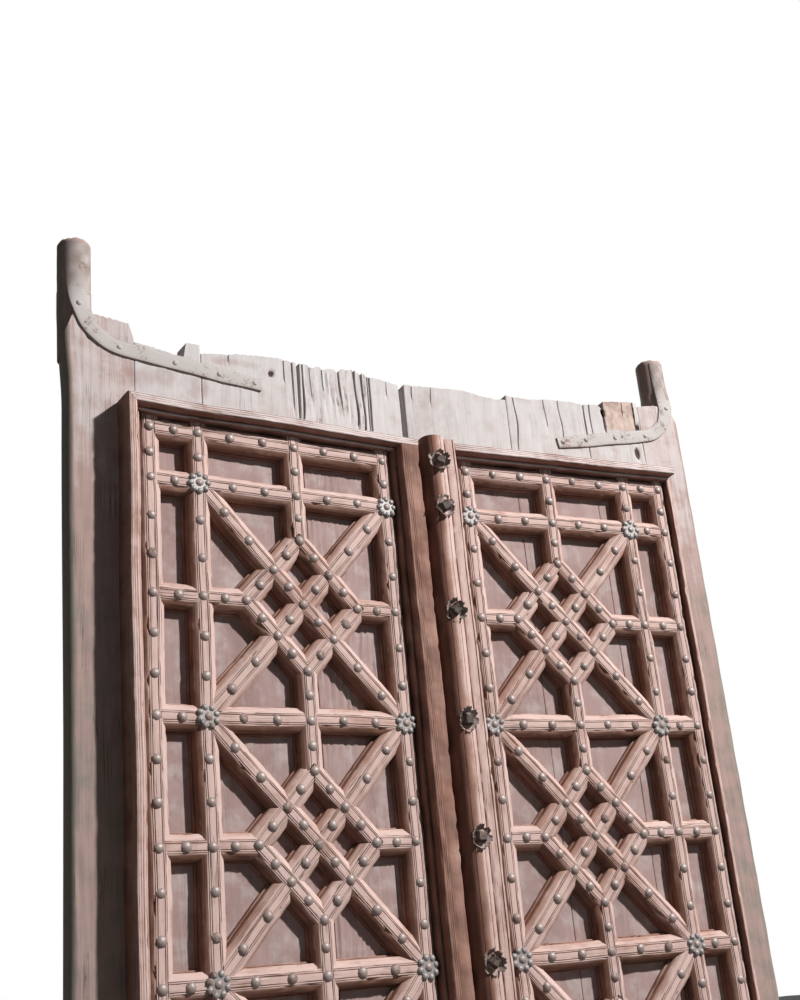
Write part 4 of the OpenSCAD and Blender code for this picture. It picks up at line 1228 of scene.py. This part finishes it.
def board_material(name, groups, colours):
    """Grey and bleached in the open, brown and stained behind the lattice."""
    made, t, shader = new_material(name, 0.85, 0.08)
    grain = place(t, groups["grain"], "UV")
    grain.inputs["Cracks"].default_value = 0.55
    weather = place(t, groups["weather"])
    blotch, patch = weather.outputs["Blotch"], weather.outputs["Patch"]
    fine = t.math("MULTIPLY", t.math("ADD", grain.outputs["Streak"], grain.outputs["Fibre"]), 0.5)
    calm = t.mix(t.remap(fine, 0.3, 0.62, 0.2, 0.0), rgba(colours.board_pale), rgba(colours.board_deep))
    ridge = t.noise(t.node("ShaderNodeTexCoord").outputs["UV"], 1.0, 5.0, 0.62, (95.0, 11.0, 1.0), 1.6)
    coarse = t.mix(t.remap(ridge, 0.34, 0.47), rgba(colours.panel_deep), rgba(colours.board_pale))
    coarse = t.mix(t.remap(patch, 0.4, 0.62, 0.0, 0.8), coarse, calm)
    open_air = t.mix(t.mark("grainy"), calm, coarse)
    open_air = t.mix(t.remap(blotch, 0.5, 0.68, 0.0, 0.6), open_air, rgba(colours.board_rosy))
    open_air = t.mix(t.remap(patch, 0.57, 0.72, 0.0, 0.4), open_air, rgba(colours.board_rosy))
    within = t.mix(t.remap(fine, 0.3, 0.7, 0.22, 0.0), rgba(colours.panel_pale), rgba(colours.panel_deep))
    within = t.mix(t.remap(blotch, 0.46, 0.68, 0.0, 0.5), within, rgba(colours.panel_deep))
    within = t.mix(t.remap(patch, 0.5, 0.7, 0.0, 0.35), within, rgba(colours.board_rosy))
    uneven = t.math("MULTIPLY", t.math("SUBTRACT", patch, 0.47), 1.6)
    shade = t.mix(t.math("ADD", t.mark("bleach"), uneven, clamp=True), within, open_air)
    block = t.mix(t.remap(patch, 0.45, 0.65, 0.0, 0.7), rgba(colours.tenon), rgba(colours.panel_deep))
    shade = t.mix(t.mark("tenon"), shade, block)
    # Cracks, holes and joints darkened: partly painted shade inside cracks and holes, partly dark joints
    shade = t.mix(t.remap(t.mark("groove"), 0.15, 0.7, 0.0, 0.95), shade, rgba(DARK))
    shade = t.mix(t.math("MULTIPLY", grain.outputs["Crack"], 0.5), shade, rgba(colours.board_deep))
    shade = t.mix(t.remap(weather.outputs["Speck"], 0.66, 0.76, 0.0, 0.4), shade, rgba(colours.panel_deep))
    t.link(shade, shader.inputs["Base Color"])
    t.link(t.remap(fine, 0.3, 0.7, 0.95, 0.75), shader.inputs["Roughness"])
    bump(t, shader, grain.outputs["Height"], 0.7, 0.0009)
    return made


def iron_material(name, groups, bright, rust, metallic, roughness, rusty, core=None):
    """Forged iron: bright where bare, rust in patches and on marked edges that partly hold painted shade, and
    another colour at its core.
    """
    made, t, shader = new_material(name, roughness, 0.4)
    weather = place(t, groups["weather"])
    mask = weather.outputs["Patch"]
    for value, part in ((weather.outputs["Speck"], 0.6), (t.mark("tint"), 0.2)):
        mask = t.math("ADD", mask, t.math("MULTIPLY", t.math("SUBTRACT", value, 0.5), part))
    mask = t.remap(mask, 0.62 - rusty * 0.3, 0.82 - rusty * 0.2)
    shade = rgba(bright)
    if core is not None:
        shade = t.mix(t.mark("core"), shade, rgba(core))
    shade = t.mix(mask, shade, rgba(rust))
    shade = t.mix(t.math("MULTIPLY", t.mark("edge"), 0.75), shade, rgba(rust))
    t.link(shade, shader.inputs["Base Color"])
    if metallic > 0.0:
        t.link(t.remap(mask, 0.0, 1.0, metallic, metallic * 0.15), shader.inputs["Metallic"])
    t.link(t.remap(mask, 0.0, 1.0, roughness, 0.85), shader.inputs["Roughness"])
    bump(t, shader, weather.outputs["Speck"], 0.35, 0.0004)
    return made


def finishes():
    """The materials, made once and kept by name."""
    if "Lattice timber" in bpy.data.materials:
        return bpy.data.materials
    c = bpy.context.scene.door_colours
    groups = {"grain": grain_group(), "weather": weather_group()}
    timber_material("Lattice timber", groups, c.bar_pale, c.bar_middle, c.bar_deep, 0.7, 0.5, 0.0012)
    timber_material("Frame timber", groups, c.frame_pale, c.frame_middle, c.frame_deep, 0.4, 0.15)
    timber_material("Post timber", groups, c.bar_pale, c.frame_middle, c.frame_deep, 0.5)
    timber_material("Stile timber", groups, c.stile_pale, c.stile_middle, c.stile_edge, 0.6, 0.35)
    timber_material("Back timber", groups, c.panel_pale, c.board_rosy, c.panel_deep)
    board_material("Board timber", groups, c)
    iron_material("Stud iron", groups, c.iron, c.iron_dark, 0.2, 0.48, 0.3)
    iron_material("Rosette iron", groups, c.silver, c.iron_dark, 0.2, 0.5, 0.25, c.iron)
    iron_material("Boss iron", groups, c.iron, c.iron_dark, 0.0, 0.75, 0.25, c.boss)
    iron_material("Strap iron", groups, c.strap, c.iron_dark, 0.0, 0.75, 0.32)
    sill_material("Sill timber", groups, c)
    return bpy.data.materials


def sill_material(name, groups, colours):
    """Grain along the threshold, read from its place."""
    made, t, shader = new_material(name, 0.85, 0.08)
    grain = t.node("ShaderNodeGroup", node_tree=groups["grain"])
    mapping = t.node("ShaderNodeMapping")
    mapping.inputs["Rotation"].default_value = (math.radians(35.0), 0.0, math.radians(90.0))
    t.link(t.node("ShaderNodeTexCoord").outputs["Object"], mapping.inputs["Vector"])
    t.link(mapping.outputs["Vector"], grain.inputs["Vector"])
    weather = place(t, groups["weather"])
    streaks = t.math("MULTIPLY", grain.outputs["Streak"], 0.6)
    fine = t.math("ADD", streaks, t.math("MULTIPLY", weather.outputs["Patch"], 0.4))
    trodden = [v * 0.85 for v in colours.board_pale]
    shade = t.mix(t.remap(fine, 0.3, 0.62), rgba(colours.panel_deep), rgba(trodden))
    shade = t.mix(t.math("MULTIPLY", grain.outputs["Crack"], 0.85), shade, rgba(DARK))
    t.link(shade, shader.inputs["Base Color"])
    bump(t, shader, grain.outputs["Height"], 0.7, 0.001)
    return made


# Operators


class DOOR_OT_boards(bpy.types.Operator):
    """Makes the vertical boards with their ragged tops"""
    bl_idname = "door.boards"
    bl_label = "Boards"

    def execute(self, context):
        for leaf in LEAVES:
            cuts = [leaf.stile_in, *(share * LEAF_W for share in JOINTS[leaf.side]), LEAF_W]
            for i in range(len(cuts) - 1):
                node = f"{leaf.side}_board_{i + 1}"
                piece = board(leaf, node, cuts[i], cuts[i + 1], i * 50)
                dress(piece, node, leaf.body, "Board timber")
        return {"FINISHED"}


class DOOR_OT_stiles(bpy.types.Operator):
    """Makes the pivot stiles with their horns"""
    bl_idname = "door.stiles"
    bl_label = "Pivot stiles"

    def execute(self, context):
        for leaf in LEAVES:
            dress(join(pivot_stile(leaf)), leaf.side + "_pivot_stile", leaf.body, "Stile timber")
        return {"FINISHED"}


class DOOR_OT_frames(bpy.types.Operator):
    """Makes the moulded frames and the meeting post"""
    bl_idname = "door.frames"
    bl_label = "Moulded frames"

    def execute(self, context):
        for leaf in LEAVES:
            made = {"frame_top": frame_rail(leaf, True), "frame_bottom": frame_rail(leaf, False),
                    "frame_hinge": frame_hinge(leaf)}
            if leaf.side == "left":
                made["frame_meeting"] = frame_meeting(leaf)
            else:
                made["post"] = meeting_post(leaf)
            for name, pieces in made.items():
                finish = "Frame timber" if name == "frame_top" else "Post timber"
                dress(join(pieces), f"{leaf.side}_{name}", leaf.body, finish)
        return {"FINISHED"}


class DOOR_OT_lattice(bpy.types.Operator):
    """Makes the moulded bars of the lattice"""
    bl_idname = "door.lattice"
    bl_label = "Lattice"

    def execute(self, context):
        for leaf in LEAVES:
            for make in (lattice_uprights, lattice_rails, lattice_through, lattice_lapped):
                node = f"{leaf.side}_{make.__name__}"
                dress(join(make(leaf)), node, leaf.body, "Lattice timber")
        return {"FINISHED"}


class DOOR_OT_battens(bpy.types.Operator):
    """Makes the battens on the back"""
    bl_idname = "door.battens"
    bl_label = "Battens"

    def execute(self, context):
        for leaf in LEAVES:
            dress(join(battens(leaf)), leaf.side + "_battens", leaf.body, "Back timber")
        return {"FINISHED"}


class DOOR_OT_straps(bpy.types.Operator):
    """Makes the strap irons and their nails"""
    bl_idname = "door.straps"
    bl_label = "Straps"

    def execute(self, context):
        nail = dome("nail_model", 5.5, 3.6, 12, 8, 0.4)
        for leaf in LEAVES:
            dress(strap(leaf), leaf.side + "_strap", leaf.body, "Strap iron")
            nails = set_on_face(leaf, nail, strap_nail_spots(leaf), 31, STRAP_T, 4.0)
            dress(nails, leaf.side + "_strap_nails", leaf.body, "Strap iron", 60.0)
        bpy.data.objects.remove(nail)
        return {"FINISHED"}


class DOOR_OT_studs(bpy.types.Operator):
    """Makes the studs of the lattice"""
    bl_idname = "door.studs"
    bl_label = "Studs"

    def execute(self, context):
        stud = dome("stud_model", 9.5, 7.6, 12, 8, 0.9)
        for leaf in LEAVES:
            piece = set_on_face(leaf, stud, stud_spots(leaf), 41, BAR_H - 0.4)
            dress(piece, leaf.side + "_studs", leaf.body, "Stud iron", 60.0)
        bpy.data.objects.remove(stud)
        return {"FINISHED"}


class DOOR_OT_rosettes(bpy.types.Operator):
    """Makes the rosettes in the corners of the squares"""
    bl_idname = "door.rosettes"
    bl_label = "Rosettes"

    def execute(self, context):
        model = rosette_model()
        for leaf in LEAVES:
            spots = [(leaf.cols[c], ROWS[2 * k + 1]) for c in (1, 3) for k in range(SQUARES + 1)]
            piece = set_on_face(leaf, model, spots, 51, BAR_H - 0.3, 3.0, 0.04)
            dress(piece, leaf.side + "_rosettes", leaf.body, "Rosette iron", 60.0)
        bpy.data.objects.remove(model)
        return {"FINISHED"}


class DOOR_OT_bosses(bpy.types.Operator):
    """Makes the square-headed bosses of the meeting post"""
    bl_idname = "door.bosses"
    bl_label = "Bosses"

    def execute(self, context):
        leaf = LEAVES[1]
        model = boss_model()
        x = LEAF_W - EDGE_SET - POST_R
        piece = set_on_face(leaf, model, [(x, z) for z in ROWS], 61, POST_MID_H + POST_R, 6.0, 0.05)
        dress(piece, "right_post_bosses", leaf.body, "Boss iron", 40.0)
        bpy.data.objects.remove(model)
        return {"FINISHED"}


class DOOR_OT_threshold(bpy.types.Operator):
    """Rounds the threshold's edges and finishes the pivot sockets"""
    bl_idname = "door.threshold"
    bl_label = "Threshold"

    def execute(self, context):
        node = frame["nodes"]["threshold"]
        deselect()
        piece = node.copy()
        piece.data = node.data.copy()
        piece.parent = None
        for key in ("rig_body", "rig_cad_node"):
            del piece[key]
        context.collection.objects.link(piece)
        select(piece)
        edit()
        bpy.ops.mesh.remove_doubles(threshold=MERGE)
        bpy.ops.mesh.dissolve_limited(angle_limit=math.radians(1.0))
        bpy.ops.object.mode_set(mode="OBJECT")
        worn = piece.modifiers.new("Worn edges", "BEVEL")
        worn.width = 0.006
        worn.segments = 3
        worn.limit_method = "ANGLE"
        worn.angle_limit = math.radians(60.0)
        bpy.ops.object.modifier_apply(modifier=worn.name)
        dress(piece, "threshold", "threshold", "Sill timber", 30.0)
        for name in ("left_socket", "right_socket"):
            frame["nodes"][name].data.materials.clear()
            frame["nodes"][name].data.materials.append(finishes()["Boss iron"])
        return {"FINISHED"}


class DOOR_OT_stage(bpy.types.Operator):
    """Lays the floor, sets the lights and the camera"""
    bl_idname = "door.stage"
    bl_label = "Stage"

    def execute(self, context):
        deselect()
        bpy.ops.mesh.primitive_plane_add(size=60.0, location=(0.0, 0.0, -0.001))
        floor = context.object
        floor.name = "floor"
        pale, t, shader = new_material("Floor", 0.9, 0.1)
        seen = t.node("ShaderNodeLightPath").outputs["Is Camera Ray"]
        t.link(t.mix(seen, (0.2, 0.2, 0.2, 1.0), (0.8, 0.8, 0.8, 1.0)), shader.inputs["Base Color"])
        floor.data.materials.append(pale)
        key = Vector((0.50, -0.65, 0.57)).normalized()
        lit = Vector((0.0, 0.0, 1.7))
        add_light("Key", key * 6.0 + lit, lit, 0.35, 655.0, (1.0, 0.985, 0.965))
        add_light("Fill", (-4.5, -4.0, 2.6), (0.0, 0.0, 1.4), 4.0, 8.0, (0.97, 0.98, 1.0))
        add_light("Back", (1.5, 5.0, 4.0), (0.0, 0.0, 1.4), 3.0, 190.0, (1.0, 1.0, 1.0))
        world = context.scene.world or bpy.data.worlds.new("World")
        context.scene.world = world
        world.use_nodes = True
        sky = Tree(world.node_tree)
        ground = world.node_tree.nodes["Background"]
        seen = sky.node("ShaderNodeLightPath")
        plain = sky.math("MAXIMUM", seen.outputs["Is Glossy Ray"], seen.outputs["Is Transmission Ray"])
        plain = sky.math("MAXIMUM", seen.outputs["Is Camera Ray"], plain)
        strength = sky.math("ADD", sky.math("MULTIPLY", plain, 1.0 - AMBIENT), AMBIENT)
        ground.inputs["Color"].default_value = (1.0, 1.0, 1.0, 1.0)
        sky.link(strength, ground.inputs["Strength"])
        lens = bpy.data.cameras.new("Camera")
        lens.sensor_fit = "HORIZONTAL"
        lens.sensor_width = 36.0
        lens.lens = 58.79
        camera = bpy.data.objects.new("Camera", lens)
        context.collection.objects.link(camera)
        right = Vector((0.87249, -0.48040, -0.08936))
        up = Vector((-0.09704, -0.34958, 0.93187))
        ahead = Vector((0.47891, 0.80437, 0.35162))
        turn = Matrix((right, up, -ahead)).transposed().to_4x4()
        camera.matrix_world = Matrix.Translation((-1.2355, -2.0264, 1.1456)) @ turn
        context.scene.camera = camera
        context.scene.view_settings.view_transform = "Standard"
        return {"FINISHED"}


def add_light(name, spot, target, width, power, tone):
    lamp = bpy.data.lights.new(name, "AREA")
    lamp.shape = "DISK"
    lamp.size = width
    lamp.energy = power
    lamp.color = tone
    made = bpy.data.objects.new(name, lamp)
    bpy.context.collection.objects.link(made)
    made.location = spot
    made.rotation_euler = (Vector(target) - Vector(spot)).to_track_quat("-Z", "Y").to_euler()


PIECES = (DOOR_OT_boards, DOOR_OT_stiles, DOOR_OT_frames, DOOR_OT_lattice, DOOR_OT_battens, DOOR_OT_straps,
          DOOR_OT_studs, DOOR_OT_rosettes, DOOR_OT_bosses, DOOR_OT_threshold, DOOR_OT_stage)


class DOOR_PT_panel(bpy.types.Panel):
    """Lists the pieces of the door"""
    bl_label = "Pivot door"
    bl_idname = "DOOR_PT_panel"
    bl_space_type = "VIEW_3D"
    bl_region_type = "UI"
    bl_category = "Door"

    def draw(self, context):
        for group_name in ("door_wear", "door_colours"):
            settings = getattr(context.scene, group_name)
            for key in settings.bl_rna.properties.keys():
                if key not in ("rna_type", "name"):
                    self.layout.prop(settings, key)
        for piece in PIECES:
            self.layout.operator(piece.bl_idname)


CLASSES = (DoorWear, DoorColours, *PIECES, DOOR_PT_panel)


def register():
    for made in CLASSES:
        bpy.utils.register_class(made)
    bpy.types.Scene.door_wear = bpy.props.PointerProperty(type=DoorWear)
    bpy.types.Scene.door_colours = bpy.props.PointerProperty(type=DoorColours)


def unregister():
    del bpy.types.Scene.door_wear
    del bpy.types.Scene.door_colours
    for made in reversed(CLASSES):
        bpy.utils.unregister_class(made)


def main():
    register()
    bpy.ops.door.stage()
    bpy.ops.door.boards()
    bpy.ops.door.stiles()
    bpy.ops.door.frames()
    bpy.ops.door.lattice()
    bpy.ops.door.battens()
    bpy.ops.door.straps()
    bpy.ops.door.studs()
    bpy.ops.door.rosettes()
    bpy.ops.door.bosses()
    bpy.ops.door.threshold()


if __name__ == "__main__":
    main()
